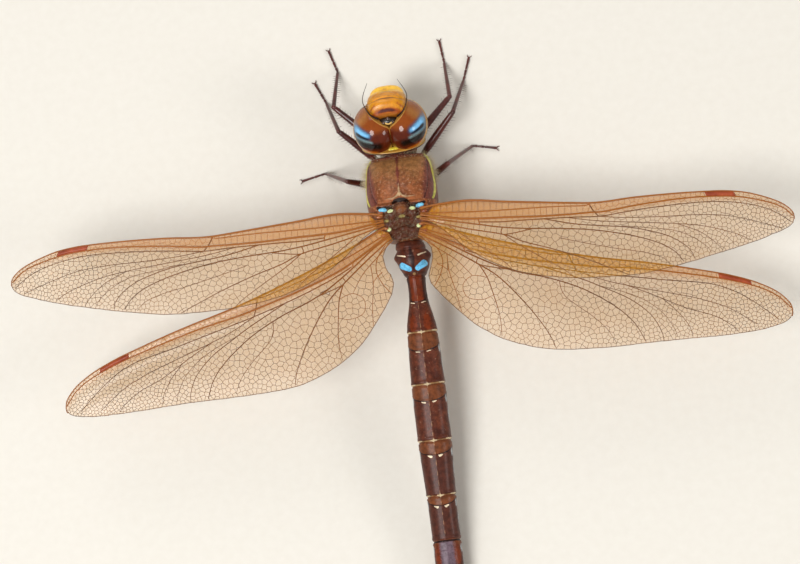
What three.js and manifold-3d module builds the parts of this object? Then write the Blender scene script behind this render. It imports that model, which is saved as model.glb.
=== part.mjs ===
// A male brown hawker dragonfly, life size, standing on six feet and the tip of its abdomen with its wings
// held out flat. Millimetres, +Z up. The head points along -Y and the left wings along +X, and z = 0 is the
// floor. Every plate of the body, wing, leg part and appendage is its own closed solid.
import * as THREE from "three";
import { mergeVertices } from "three/addons/utils/BufferGeometryUtils.js";
import Module from "manifold-3d";

const wasm = await Module();
wasm.setup();

// ---- Driving dimensions ------------------------------------------------------------------------------
const SEAM = 0.15; // width of the thin cut between two neighbouring plates
const FAR = 60; // reach of the cutting blocks, beyond the whole animal

// Lengths along the body are y, counted back from the line between the fore wing roots.
const THORAX = { front: -8.1, rear: 3.0, skew: 0.55, squareness: 2.5 };
// The flat top of the thorax, on which the notal plates and the wing roots lie, is in two steps.
const FORE_DECK = { from: -1.75, height: 12.35 };
const HIND_DECK = { from: 1.2, height: 12.0 };
const NECK_HEIGHT = 7.0;

const HEAD = { x: 0.25, y: -12.1, z: 9.2, pitch: THREE.MathUtils.degToRad(36) };
const EYE = { offset: 1.93, halfWidth: 2.94, halfLength: 3.3, halfHeight: 3.7, flatBack: 2.2 };
const FACE_BACK = -1.9;
const REAR_PLATE = 0.5; // how far the rear of the head stands behind the flat backs of the eyes

// Where each abdominal segment starts, and where the last one ends.
const SEGMENTS = [3.0, 4.0, 7.5, 14.8, 21.5, 28.7, 35.7, 41.4, 45.8, 49.3, 51.5];
const ABDOMEN = { baseHeight: 8.9, tipHeight: 1.0, arch: 1.1, squareness: 2.2 };
const CERCUS_LENGTH = 5.6;
const EPIPROCT_LENGTH = 3.4;

const WING = { thickness: 0.5, camber: 0.15, tipFall: 1.2 };
const LEG = { knee: 0.5, ankle: 0.3, trochanter: 0.7, ankleRadius: 0.27, soleDepth: 0.06 };

// ---- Materials -----------------------------------------------------------------------------------------
function finish(color, roughness) {
  return new THREE.MeshStandardMaterial({ color, roughness, metalness: 0 });
}
const CHESTNUT = finish(0x5a2a1a, 0.45);
const DARK_BROWN = finish(0x3c1d18, 0.4);
const MAROON = finish(0x4d1a12, 0.3);
const OCHRE = finish(0xc8780f, 0.4);
const BLACK_BROWN = finish(0x1c1210, 0.4);
const EYE_BROWN = finish(0x5b2a12, 0.15);
const REAR_YELLOW = finish(0x9a7a2c, 0.45);
const AMBER = finish(0xc08a3a, 0.25);

// ---- Shapes --------------------------------------------------------------------------------------------
const X = new THREE.Vector3(1, 0, 0);
const Y = new THREE.Vector3(0, 1, 0);
const Z = new THREE.Vector3(0, 0, 1);
const vector = (x, y, z) => new THREE.Vector3(x, y, z);

// A value along the body, on a smooth curve through [place, value] pairs.
function profile(pairs) {
  const curve = new THREE.SplineCurve(pairs.map(([place, value]) => new THREE.Vector2(place, value)));
  const samples = curve.getPoints(pairs.length * 12);
  return (place) => {
    const next = samples.findIndex((p) => p.x >= place);
    if (next < 0) return samples.at(-1).y;
    if (next === 0) return samples[0].y;
    const [a, b] = [samples[next - 1], samples[next]];
    return THREE.MathUtils.mapLinear(place, a.x, b.x, a.y, b.y);
  };
}

// A ring of points round a centre: a superellipse of half-width w along side, reaching up and down along
// rise. Power 2 is an ellipse, and more is squarer.
function ring(centre, side, rise, w, up, down, count, power = 2) {
  const points = [];
  for (let i = 0; i < count; i++) {
    const angle = (i / count) * 2 * Math.PI;
    const [c, s] = [Math.cos(angle), Math.sin(angle)];
    const across = Math.sign(c) * Math.abs(c) ** (2 / power) * w;
    const high = Math.sign(s) * Math.abs(s) ** (2 / power) * (s > 0 ? up : down);
    points.push(centre.clone().addScaledVector(side, across).addScaledVector(rise, high));
  }
  return points;
}

// Rings across the body, each given as [y, half-width, half-height], round the points of centreAt(y).
function crossRings(table, centreAt, count, power) {
  return table.map(([y, w, h]) => ring(centreAt(y), X, Z, w, h, h, count, power));
}

// The closed body through rings of the same count of points, with a fan over each end.
function loft(rings) {
  const count = rings[0].length;
  const vertices = rings.flat();
  const index = [];
  for (let r = 0; r < rings.length - 1; r++) {
    for (let i = 0; i < count; i++) {
      const [a, b] = [r * count + i, r * count + ((i + 1) % count)];
      index.push(a, b, a + count, b, b + count, a + count);
    }
  }
  for (const r of [0, rings.length - 1]) {
    const middle = vector(0, 0, 0);
    rings[r].forEach((p) => middle.addScaledVector(p, 1 / count));
    vertices.push(middle);
    for (let i = 0; i < count; i++) {
      const edge = [r * count + i, r * count + ((i + 1) % count)];
      if (r === 0) edge.reverse();
      index.push(...edge, vertices.length - 1);
    }
  }
  return facingOut(new THREE.BufferGeometry().setFromPoints(vertices).setIndex(index));
}

// The same closed surface with its faces turned out, whichever way they ran before.
function facingOut(geometry) {
  const places = geometry.getAttribute("position");
  const index = geometry.getIndex().array;
  const corner = (i) => vector(0, 0, 0).fromBufferAttribute(places, index[i]);
  let volume = 0;
  for (let i = 0; i < index.length; i += 3) volume += corner(i).dot(corner(i + 1).cross(corner(i + 2)));
  if (volume > 0) return geometry;
  for (let i = 0; i < index.length; i += 3) [index[i], index[i + 1]] = [index[i + 1], index[i]];
  return geometry;
}

// A round limb along a curve, with its radius given at even steps from root to tip.
function limb(curve, radii, count) {
  const steps = (radii.length - 1) * 2;
  const { normals, binormals } = curve.computeFrenetFrames(steps, false);
  const radiusAt = profile(radii.map((r, i) => [i / (radii.length - 1), r]));
  const rings = [];
  for (let i = 0; i <= steps; i++) {
    const r = radiusAt(i / steps);
    rings.push(ring(curve.getPointAt(i / steps), normals[i], binormals[i], r, r, r, count));
  }
  return loft(rings);
}

// ---- Cutting -------------------------------------------------------------------------------------------
function toSolid(geometry) {
  const bare = geometry.clone();
  bare.deleteAttribute("normal");
  bare.deleteAttribute("uv");
  const merged = mergeVertices(bare, 1e-4);
  const vertProperties = new Float32Array(merged.getAttribute("position").array);
  const triVerts = new Uint32Array(merged.getIndex().array);
  return new wasm.Manifold(new wasm.Mesh({ numProp: 3, vertProperties, triVerts }));
}

function toGeometry(solid) {
  const mesh = solid.getMesh();
  return new THREE.BufferGeometry()
    .setAttribute("position", new THREE.BufferAttribute(new Float32Array(mesh.vertProperties), 3))
    .setIndex(new THREE.BufferAttribute(new Uint32Array(mesh.triVerts), 1));
}

// A cutting block between two corners.
function block(low, high) {
  const size = high.clone().sub(low);
  const middle = low.clone().lerp(high, 0.5);
  return toSolid(new THREE.BoxGeometry(...size).translate(...middle));
}
const underFloor = block(vector(-FAR, -FAR, -FAR), vector(FAR, FAR, 0));

// Grinds flat, at the floor, what stands on it.
function standing(geometry) {
  return toGeometry(toSolid(geometry).subtract(underFloor));
}

function add(group, name, geometry, material) {
  const mesh = new THREE.Mesh(geometry, material);
  mesh.name = name;
  group.add(mesh);
  return mesh;
}

const SIDES = { left: 1, right: -1 };
const dragonfly = new THREE.Group();

// The head is built level in a group of its own, which is then tipped face up.
const head = new THREE.Group();
head.position.set(HEAD.x, HEAD.y, HEAD.z);
head.rotation.x = -HEAD.pitch;
dragonfly.add(head);
head.updateMatrixWorld(true);

// ---- Thorax --------------------------------------------------------------------------------------------
// The pterothorax is a deep skewed box: its front slopes up from the neck to the wings, the legs hang from
// its lower front, and its rear narrows to the waist.
const thoraxWidth = profile([[-8.1, 3.9], [-7, 4.35], [-4.2, 4.6], [-2, 4.6], [0.5, 4.2], [2, 3.2],
  [3, 2.2]]);
const thoraxTop = profile([[-8.1, 9.3], [-6.4, 10.8], [-4.2, 12.2], [-2.2, 13.1], [-1, 13.4], [1, 13.2],
  [3, 11.9]]);
const thoraxBelly = profile([[-8.1, 4.9], [-6.4, 3.4], [-4.2, 3.0], [-1, 3.1], [1.4, 4.6], [3, 6.5]]);
const COLLAR = [[-10.6, 1.2, 1.1], [-9.6, 1.7, 1.6], [-9.0, 2.35, 2.2], [THORAX.front - SEAM, 2.6, 2.3]];

// The pterothorax before its top is cut, grown by a margin when it serves to cut what hangs from it.
function thoraxBody(margin) {
  const inner = [-7.6, -6.4, -5.2, -4.2, -3, -2.2, -1.4, -0.4, 0.8, 2];
  const stations = [THORAX.front, ...inner, THORAX.rear - SEAM / 2];
  const rings = stations.map((y) => {
    const [top, belly] = [thoraxTop(y) + margin, thoraxBelly(y) - margin];
    const middle = THREE.MathUtils.lerp(belly, top, THORAX.skew);
    const width = thoraxWidth(y) + margin;
    return ring(vector(0, y, middle), X, Z, width, top - middle, middle - belly, 18, THORAX.squareness);
  });
  return toSolid(loft(rings));
}

function collarBody(margin) {
  const rows = COLLAR.map(([y, w, h]) => [y, w + margin, h + margin]);
  return toSolid(loft(crossRings(rows, (y) => vector(0, y, NECK_HEIGHT), 14)));
}

// Rows of a notal plate: [y, half-width, height of its top].
const NOTUM_PLATES = {
  mesonotum: {
    deck: FORE_DECK,
    rows: [[-1.6, 1.2, 12.95], [-1.2, 1.8, 13.5], [-0.2, 2.1, 13.7], [0.6, 1.95, 13.3], [1.1, 1.6, 13]],
  },
  metanotum: {
    deck: HIND_DECK,
    rows: [[1.3, 1.6, 12.6], [1.7, 1.75, 13.0], [2.3, 1.7, 12.9], [2.8, 1.5, 12.5]],
  },
};

function makeThorax() {
  let body = thoraxBody(0);
  for (const { from, height } of [FORE_DECK, HIND_DECK]) {
    body = body.subtract(block(vector(-FAR, from, height), vector(FAR, FAR, FAR)));
  }
  add(dragonfly, "pterothorax", toGeometry(body), CHESTNUT);

  for (const [name, { deck, rows }] of Object.entries(NOTUM_PLATES)) {
    const edge = 0.2;
    const seat = deck.height + SEAM + edge;
    const rings = rows.map(([y, w, top]) => ring(vector(0, y, seat), X, Z, w, top - seat, edge, 12, 2.6));
    add(dragonfly, name, loft(rings), CHESTNUT);
  }

  // The neck plate ends against the tipped rear of the head.
  const rear = EYE.flatBack + REAR_PLATE + 2 * SEAM;
  const skull = new THREE.BoxGeometry(FAR, FAR, FAR).translate(0, rear - FAR / 2, 0);
  skull.applyMatrix4(head.matrixWorld);
  add(dragonfly, "prothorax", toGeometry(collarBody(0).subtract(toSolid(skull))), CHESTNUT);
}
makeThorax();

// ---- Head ------------------------------------------------------------------------------------------------
// The two compound eyes meet along the crown and are flat behind, where the rear plate closes the head. The
// face bulges out between them in three plates, with the small vertex behind it and the lip below.
const faceWidth = profile([[-4.2, 1.1], [-3.6, 1.9], [-2.4, 2.3], [-1.2, 2.5], [0.4, 2.5], [1.5, 2.15],
  [2.0, 1.5]]);
const faceFront = profile([[-4.2, -3.7], [-3.5, -4.4], [-2.8, -4.6], [-2.0, -4.42], [-1.2, -4.72],
  [0, -4.78], [0.7, -4.6], [1.15, -4.62], [1.6, -4.2], [2.0, -3.4]]);
const VERTEX = { y: -1.85, foot: 1.2, front: -2.45 }; // it stands on a step cut in the top of the frons

function facePlate(low, high, steps, margin = 0) {
  const rings = [];
  for (let i = 0; i <= steps; i++) {
    const z = THREE.MathUtils.lerp(low, high, i / steps);
    const depth = (FACE_BACK - faceFront(z)) / 2 + margin;
    const w = faceWidth(z) + margin;
    rings.push(ring(vector(0, (FACE_BACK + faceFront(z)) / 2, z), X, Y, w, depth, depth, 16, 2.6));
  }
  return loft(rings);
}

// Upright rings in the head: [z, half-width, half-depth] round a place on its middle line.
function uprightRings(rows, y, count) {
  return rows.map(([z, w, d]) => ring(vector(0, y, z), X, Y, w, d, d, count));
}

function makeEyes() {
  const face = toSolid(facePlate(-4.7, 2.35, 10, 2 * SEAM));
  const wellRings = [[VERTEX.foot, 1.95, 1.3], [2.4, 1.85, 1.3], [4, 1.8, 1.3]];
  const crownWell = toSolid(loft(uprightRings(wellRings, -2.5, 16)));
  const behind = block(vector(-FAR, EYE.flatBack, -FAR), vector(FAR, FAR, FAR));
  for (const [name, side] of Object.entries(SIDES)) {
    const ball = new THREE.SphereGeometry(1, 18, 13)
      .rotateX(Math.PI / 2)
      .scale(EYE.halfWidth, EYE.halfLength, EYE.halfHeight)
      .translate(side * EYE.offset, -0.15, 0);
    const otherHalf = block(vector(-FAR, -FAR, -FAR), vector(SEAM / 2, FAR, FAR));
    const mirrored = side > 0 ? otherHalf : otherHalf.mirror([1, 0, 0]);
    let eye = toSolid(ball);
    for (const cutter of [mirrored, behind, face, crownWell]) eye = eye.subtract(cutter);
    add(head, "eye_" + name, toGeometry(eye), EYE_BROWN);
  }
}

function makeFace() {
  const plates = {
    frons: [0.7 + SEAM / 2, 2.0, 5],
    clypeus: [-2.0 + SEAM / 2, 0.7 - SEAM / 2, 4],
    labrum: [-4.2, -2.0 - SEAM / 2, 4],
  };
  const step = block(vector(-FAR, VERTEX.front, VERTEX.foot), vector(FAR, FAR, FAR));
  for (const [name, [low, high, steps]] of Object.entries(plates)) {
    add(head, name, toGeometry(toSolid(facePlate(low, high, steps)).subtract(step)), OCHRE);
  }
  const foot = VERTEX.foot + SEAM;
  const bump = [[foot, 1.2, 0.52], [1.8, 1.15, 0.5], [2.2, 0.8, 0.4], [2.45, 0.4, 0.28]];
  add(head, "vertex", loft(uprightRings(bump, VERTEX.y, 12)), BLACK_BROWN);

  const lip = [[-3.35, 0.9, 0.3], [-3.0, 1.45, 0.42], [-1.6, 1.8, 0.5], [0.2, 1.75, 0.5], [1.5, 1.2, 0.35]];
  const lipLine = (y) => vector(0, y, -4.85 + 0.16 * (y + 3));
  add(head, "labium", loft(crossRings(lip, lipLine, 12)), OCHRE);

  const rear = EYE.flatBack + SEAM;
  const backs = [[rear, 4.2, 3.0], [rear + REAR_PLATE / 2, 4.0, 2.85], [rear + REAR_PLATE, 3.2, 2.2]];
  add(head, "head_rear", loft(crossRings(backs, (y) => vector(0, y, -0.1), 20, 2.2)), REAR_YELLOW);
}

function makeAntennae() {
  for (const [name, side] of Object.entries(SIDES)) {
    const points = [[1.1, -2.75, 2.33], [1.75, -3.2, 2.35], [2.5, -4.0, 2.0], [2.85, -5.2, 1.3],
      [1.95, -7.1, 0.8]];
    const path = points.map(([out, y, z]) => vector(side * out, y, z));
    const feeler = limb(new THREE.CatmullRomCurve3(path), [0.3, 0.29, 0.27, 0.26, 0.25, 0.25], 6);
    add(head, "antenna_" + name, feeler, BLACK_BROWN);
  }
}
makeEyes();
makeFace();
makeAntennae();

// ---- Abdomen ---------------------------------------------------------------------------------------------
// Ten ring segments on one gently falling line, swollen at the second, waisted in the third and broadest in
// the fourth and fifth. The last one lies on the floor and carries the claspers.
const abdomenWidth = profile([[3, 1.8], [5, 2.05], [6.3, 1.95], [7.5, 1.35], [9, 1.17], [10.8, 1.28],
  [13, 1.75], [14.8, 1.98], [21.5, 2.22], [28.7, 2.2], [33, 2.05], [36, 1.93], [41.4, 1.86], [46, 1.9],
  [49.3, 1.75], [51.5, 1.4]]);
const abdomenDepth = profile([[3, 2.1], [5, 2.35], [6.3, 2.25], [7.5, 1.7], [9.3, 1.4], [11.5, 1.5],
  [14.8, 1.8], [21.5, 1.95], [28.7, 1.95], [36, 1.85], [41.4, 1.72], [46, 1.68], [49.3, 1.5], [51.5, 1.15]]);
const abdomenSide = profile([[3, -0.15], [6, -0.42], [14, -0.3], [30, 0.1], [51.5, 0.6]]);

function abdomenCentre(y) {
  const t = THREE.MathUtils.inverseLerp(SEGMENTS[0], SEGMENTS.at(-1), y);
  const height = THREE.MathUtils.lerp(ABDOMEN.baseHeight, ABDOMEN.tipHeight, t);
  return vector(abdomenSide(y), y, height + ABDOMEN.arch * Math.sin(Math.PI * Math.min(t, 1)));
}

function makeSegments() {
  const stepsIn = [1, 5, 5, 3, 3, 3, 3, 3, 3, 3];
  stepsIn.forEach((steps, s) => {
    const [from, to] = [SEGMENTS[s] + SEAM / 2, SEGMENTS[s + 1] - SEAM / 2];
    const rows = Array.from({ length: steps + 1 }, (_, i) => {
      const y = THREE.MathUtils.lerp(from, to, i / steps);
      return [y, abdomenWidth(y), abdomenDepth(y)];
    });
    const segment = loft(crossRings(rows, abdomenCentre, 14, ABDOMEN.squareness));
    add(dragonfly, "abdomen_s" + (s + 1), standing(segment), s % 2 ? DARK_BROWN : CHESTNUT);
  });
}

function makeClaspers() {
  const end = abdomenCentre(SEGMENTS.at(-1));
  // Rows of an upper clasper: [share of its length, half-width, half-thickness, distance from the middle].
  const blade = [[0.03, 0.42, 0.42, 0.62], [0.16, 0.36, 0.36, 0.75], [0.36, 0.6, 0.34, 0.95],
    [0.68, 0.7, 0.3, 1.15], [0.91, 0.5, 0.27, 1.1], [1, 0.26, 0.25, 0.95]];
  for (const [name, side] of Object.entries(SIDES)) {
    const rings = blade.map(([share, w, h, out]) => {
      const back = share * CERCUS_LENGTH;
      return ring(vector(end.x + side * out, end.y + back, end.z + 0.32 - 0.04 * back), X, Z, w, h, h, 8);
    });
    add(dragonfly, "cercus_" + name, loft(rings), DARK_BROWN);
  }
  const plate = [[0.05, 0.85, 0.34], [0.35, 0.75, 0.32], [0.7, 0.5, 0.28], [1, 0.26, 0.25]];
  const rings = plate.map(([share, w, h]) => {
    const back = share * EPIPROCT_LENGTH;
    return ring(vector(end.x, end.y + back, end.z - 0.72 + 0.05 * back), X, Z, w, h, h, 8);
  });
  add(dragonfly, "epiproct", standing(loft(rings)), DARK_BROWN);
}
makeSegments();
makeClaspers();

// ---- Wings -----------------------------------------------------------------------------------------------
// An outline is a leading and a trailing edge from root to tip, each as [distance out, distance back] from
// the root of the costa. The wing is a thin plate between them, cambered across and falling to its tip.
const FORE_OUTLINE = {
  leading: [[-1.5, 0.35], [0, 0], [3, -0.5], [6, -0.9], [10, -1.05], [15, -1.2], [20.5, -1.0], [27, -1.8],
    [33, -2.5], [37, -2.85], [40, -2.8], [42.5, -2.3], [44.6, -1.5], [46, -0.6], [46.5, 0.1]],
  trailing: [[-1.5, 1.75], [0, 2.1], [2, 3.3], [5, 5.5], [9, 7.4], [13, 8.4], [18, 8.8], [22, 8.6],
    [27, 7.9], [32, 6.5], [37, 4.9], [41, 3.35], [44, 2.1], [46, 1.3], [46.5, 0.5]],
};
const HIND_OUTLINE = {
  leading: [[-0.5, 0.1], [0.6, 0], [3.8, 0.15], [8, 0.1], [14, -0.1], [19, -0.3], [24, -0.8], [28, -1.4],
    [32, -1.95], [36, -2.25], [40, -2.35], [43, -2.15], [46, -1.6], [47.8, -0.7], [48.4, 0]],
  trailing: [[-0.5, 3.0], [0.3, 4.4], [1.2, 6.1], [3.3, 8.0], [7.5, 10.4], [13, 12.1], [17, 12.4],
    [22.3, 11.3], [27, 9.8], [31.5, 8.2], [36, 6.6], [41, 4.9], [45, 3.2], [47.6, 1.6], [48.4, 0.5]],
};

function wingPlate({ leading, trailing }, side) {
  const [spanSteps, chordSteps] = [24, 4];
  const flat = (points) => points.map(([out, back]) => new THREE.Vector2(out, back));
  const edges = [leading, trailing].map((points) => new THREE.SplineCurve(flat(points)));
  const length = leading.at(-1)[0];
  const rings = [];
  for (let i = 0; i <= spanSteps; i++) {
    const [front, back] = edges.map((edge) => edge.getPointAt(i / spanSteps));
    const [upper, lower] = [[], []];
    for (let j = 0; j <= chordSteps; j++) {
      const p = front.clone().lerp(back, j / chordSteps);
      const crown = WING.camber * Math.sin((Math.PI * j) / chordSteps);
      const height = crown - WING.tipFall * (p.x / length) ** 2;
      upper.push(vector(side * p.x, p.y, height + WING.thickness / 2));
      lower.unshift(vector(side * p.x, p.y, height - WING.thickness / 2));
    }
    rings.push([...upper, ...lower]);
  }
  return loft(rings);
}

// root is [out, y, height] of the costa's root. sweep turns the tip back, rise lifts it, and tilt lifts the
// trailing edge, in degrees.
const FORE_ROOT = [4.0, -0.5, 12.9];
const HIND_ROOT = [2.8, 1.4, 12.32];
const WINGS = {
  forewing_left: { outline: FORE_OUTLINE, side: 1, root: FORE_ROOT, sweep: 2.3, rise: 2, tilt: 3 },
  forewing_right: { outline: FORE_OUTLINE, side: -1, root: FORE_ROOT, sweep: 9.8, rise: 1, tilt: 3 },
  hindwing_left: { outline: HIND_OUTLINE, side: 1, root: HIND_ROOT, sweep: 21.3, rise: -3, tilt: -1 },
  hindwing_right: { outline: HIND_OUTLINE, side: -1, root: HIND_ROOT, sweep: 20.5, rise: -3, tilt: -1 },
};
for (const [name, { outline, side, root, sweep, rise, tilt }] of Object.entries(WINGS)) {
  const wing = add(dragonfly, name, wingPlate(outline, side), AMBER);
  const turns = [tilt, -side * rise, side * sweep].map(THREE.MathUtils.degToRad);
  wing.position.set(side * root[0], root[1], root[2]);
  wing.rotation.set(...turns, "ZYX");
}

// ---- Legs ------------------------------------------------------------------------------------------------
// Each leg is a coxa on the belly, a stout femur out to the knee, a thin tibia down to the ankle and a tarsus
// that lies on the floor. Joints are [out, y, height].
const FRONT = { coxa: [1.3, -8.6, 5.4], hip: [2.2, -11.0, 3.9] };
const MIDDLE = { coxa: [1.6, -6.6, 4.0], hip: [2.8, -8.9, 2.8] };
const HIND = { coxa: [1.7, -4.2, 3.6], hip: [3.0, -5.6, 2.4] };
const LEGS = {
  front_right: { side: -1, ...FRONT, knee: [7.6, -15.9, 4.8], ankle: [7.2, -21.4], toe: [6.9, -24.6] },
  front_left: { side: 1, ...FRONT, knee: [7.7, -16.7, 4.8], ankle: [7.0, -22.2], toe: [7.9, -25.4] },
  middle_right: { side: -1, ...MIDDLE, knee: [7.8, -13.7, 5.4], ankle: [9.4, -18.6], toe: [10.6, -21.8] },
  middle_left: { side: 1, ...MIDDLE, knee: [7.4, -13.3, 5.4], ankle: [9.0, -18.2], toe: [10.3, -21.3] },
  hind_right: { side: -1, ...HIND, knee: [6.4, -6.7, 7.4], ankle: [9.5, -9.8], toe: [12.8, -9.0] },
  hind_left: { side: 1, ...HIND, knee: [6.9, -6.2, 7.4], ankle: [10.3, -8.9], toe: [13.7, -8.3] },
};

// The curve of a leg part between two joints, drawn in from each and bowed up in the middle.
function legCurve(from, to, gapStart, gapEnd, bow) {
  const along = to.clone().sub(from).normalize();
  const start = from.clone().addScaledVector(along, gapStart);
  const end = to.clone().addScaledVector(along, -gapEnd);
  return new THREE.CatmullRomCurve3([start, start.clone().lerp(end, 0.5).addScaledVector(Z, bow), end]);
}

function makeLegs() {
  const trunk = thoraxBody(SEAM).add(collarBody(SEAM));
  const sole = LEG.ankleRadius - LEG.soleDepth;
  for (const [name, { side, ...joints }] of Object.entries(LEGS)) {
    const at = ([out, y, height]) => vector(side * out, y, height);
    const [coxa, hip, knee] = [joints.coxa, joints.hip, joints.knee].map(at);
    const [ankle, toe] = [joints.ankle, joints.toe].map(([out, y]) => at([out, y, sole]));
    const base = limb(legCurve(coxa, hip, 0, 0.1, 0), [0.85, 0.8, 0.55], 8);
    const femur = limb(legCurve(hip, knee, LEG.trochanter, LEG.knee, 0.15), [0.42, 0.52, 0.5, 0.44, 0.4], 8);
    const tibia = limb(legCurve(knee, ankle, LEG.knee, LEG.ankle, 0.1), [0.34, 0.3, 0.27], 8);
    const foot = limb(legCurve(ankle, toe, LEG.ankle, 0, 0), [LEG.ankleRadius, 0.26, 0.25], 8);
    add(dragonfly, "coxa_" + name, toGeometry(toSolid(base).subtract(trunk)), CHESTNUT);
    add(dragonfly, "femur_" + name, femur, MAROON);
    add(dragonfly, "tibia_" + name, tibia, DARK_BROWN);
    add(dragonfly, "tarsus_" + name, standing(foot), DARK_BROWN);
  }
}
makeLegs();

// ---- Frame -----------------------------------------------------------------------------------------------
// The origin is the middle of the model's box, on the floor.
dragonfly.updateMatrixWorld(true);
const box = new THREE.Box3().setFromObject(dragonfly, true);
dragonfly.position.set(-(box.min.x + box.max.x) / 2, -(box.min.y + box.max.y) / 2, -box.min.z);

export default dragonfly;
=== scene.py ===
import math

import bmesh
import bpy
import numpy as np
from mathutils import Matrix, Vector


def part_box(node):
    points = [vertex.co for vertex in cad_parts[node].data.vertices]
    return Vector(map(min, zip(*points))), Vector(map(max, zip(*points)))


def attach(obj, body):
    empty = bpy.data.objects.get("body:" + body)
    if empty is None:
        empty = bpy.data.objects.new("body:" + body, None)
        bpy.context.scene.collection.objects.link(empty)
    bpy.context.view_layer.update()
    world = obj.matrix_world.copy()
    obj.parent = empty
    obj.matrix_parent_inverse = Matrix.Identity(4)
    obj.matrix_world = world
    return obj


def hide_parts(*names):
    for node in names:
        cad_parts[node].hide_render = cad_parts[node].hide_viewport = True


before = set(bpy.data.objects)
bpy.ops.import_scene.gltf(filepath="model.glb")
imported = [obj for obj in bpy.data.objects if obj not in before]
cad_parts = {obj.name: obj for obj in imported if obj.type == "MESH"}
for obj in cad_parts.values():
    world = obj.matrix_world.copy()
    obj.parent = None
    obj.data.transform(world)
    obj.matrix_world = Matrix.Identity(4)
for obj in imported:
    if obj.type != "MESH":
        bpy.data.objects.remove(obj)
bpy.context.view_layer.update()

# A life-size model of a male brown hawker dragonfly, standing with its wings held out. Sizes are millimetres
# along the animal's own lines: x out to its left, y back from the line between the fore wing roots, z up
# from the floor. The front of the thorax lies a fixed way ahead of that line, which places all the rest.
MM = 0.001
THORAX_FRONT = -8.1
thorax_low, thorax_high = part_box("pterothorax")
origin = np.array([(thorax_low.x + thorax_high.x) / 2, thorax_low.y - THORAX_FRONT * MM, 0.0])


def placed(points):
    """Row-frame places, in metres, of points in millimetres along the animal's own lines."""
    return np.asarray(points, float) * MM + origin


def new_object(name, data):
    """An object in the scene that holds this mesh, lamp or lens."""
    made = bpy.data.objects.new(name, data)
    bpy.context.scene.collection.objects.link(made)
    return made


# ---- Camera ------------------------------------------------------------------------------------------------
# A long lens looks down on the back of the animal. Its axis leans by the fall of the abdomen, rolls a little
# to the animal's right, and it is turned so that the abdomen runs down the frame and to one side.
LENS = {"focal_length": 150.0, "sensor": 36.0, "distance": 427.0}
LEAN, ROLL, TURN = math.radians(8), math.radians(4.5), math.radians(8)
AIM_HEIGHT = 12.6
AIM_SHIFT = {"right": 0.26, "down": 8.6}  # from the middle of the wing line to where the lens aims

tailwards = np.array([0, math.cos(LEAN), -math.sin(LEAN)])
backwards_up = np.array([0, math.sin(LEAN), math.cos(LEAN)])
to_right = np.array([-1.0, 0, 0])
to_camera = backwards_up * math.cos(ROLL) + to_right * math.sin(ROLL)
level_right = to_right * math.cos(ROLL) - backwards_up * math.sin(ROLL)
frame_right = tailwards * math.sin(TURN) + level_right * math.cos(TURN)
frame_up = level_right * math.sin(TURN) - tailwards * math.cos(TURN)
camera_place = np.array([0, 0, AIM_HEIGHT]) + to_camera * LENS["distance"]
camera_place = camera_place - frame_right * AIM_SHIFT["right"] - frame_up * AIM_SHIFT["down"]

camera_data = bpy.data.cameras.new("camera")
camera_data.lens = LENS["focal_length"]
camera_data.sensor_width = LENS["sensor"]
camera_data.clip_start = 0.01
camera = new_object("camera", camera_data)
turned = Matrix(np.column_stack([frame_right, frame_up, to_camera]).tolist()).to_4x4()
camera.matrix_world = Matrix.Translation(placed(camera_place)) @ turned
bpy.context.scene.camera = camera


# ---- Studio ------------------------------------------------------------------------------------------------
# A pale matt table top, a round soft lamp almost overhead, weaker ones low on the animal's right and in
# front, and a pale room all round.
FLOOR_SIZE = 3.0
ROOM = {"colour": (1.0, 0.98, 0.95, 1), "strength": 0.42}
LAMPS = {
    # name: direction from the model, distance and width in metres, power in watts
    "overhead": {"from": (0.35, 0.25, 0.9), "distance": 0.7, "width": 0.32, "power": 3.75},
    "low_right": {"from": (-0.8, 0.3, 0.5), "distance": 0.8, "width": 0.25, "power": 1.4},
    "front": {"from": (0.2, -0.9, 0.6), "distance": 0.9, "width": 0.4, "power": 1.4},
}


def paint(code):
    """Linear colour, as shaders want it, of a six-figure sRGB code."""
    values = [int(code[i:i + 2], 16) / 255 for i in (0, 2, 4)]
    return [v / 12.92 if v <= 0.04045 else ((v + 0.055) / 1.055) ** 2.4 for v in values] + [1.0]


def add_node(tree, kind, inputs=(), **settings):
    """A node of this kind, with its settings, and its inputs filled from {socket: value or output}."""
    node = tree.nodes.new(kind)
    for key, value in settings.items():
        setattr(node, key, value)
    for key, value in dict(inputs).items():
        if isinstance(value, bpy.types.NodeSocket):
            tree.links.new(value, node.inputs[key])
        else:
            node.inputs[key].default_value = value
    return node


def noise(tree, place, scale, detail=2.0, roughness=0.5):
    """A cloudy value about one half, of this many clouds to a metre."""
    return add_node(tree, "ShaderNodeTexNoise", {
        "Vector": place, "Scale": scale, "Detail": detail, "Roughness": roughness}).outputs["Fac"]


def spread(tree, value, low, high, to_low=0.0, to_high=1.0, shape="LINEAR"):
    """A value moved from one range to another, and held inside it."""
    return add_node(tree, "ShaderNodeMapRange", {
        "Value": value, "From Min": low, "From Max": high, "To Min": to_low, "To Max": to_high},
        interpolation_type=shape).outputs[0]


def blend(tree, share, first, second):
    """The first colour going over to the second as the share rises."""
    return add_node(tree, "ShaderNodeMix", {"Factor": share, 6: first, 7: second},
                    data_type="RGBA").outputs[2]


def scaled_sum(tree, first, factor, second):
    """The first value times the factor, with the second added."""
    return add_node(tree, "ShaderNodeMath", {0: first, 1: factor, 2: second},
                    operation="MULTIPLY_ADD").outputs[0]


def object_place(tree):
    return add_node(tree, "ShaderNodeTexCoord").outputs["Object"]


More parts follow.
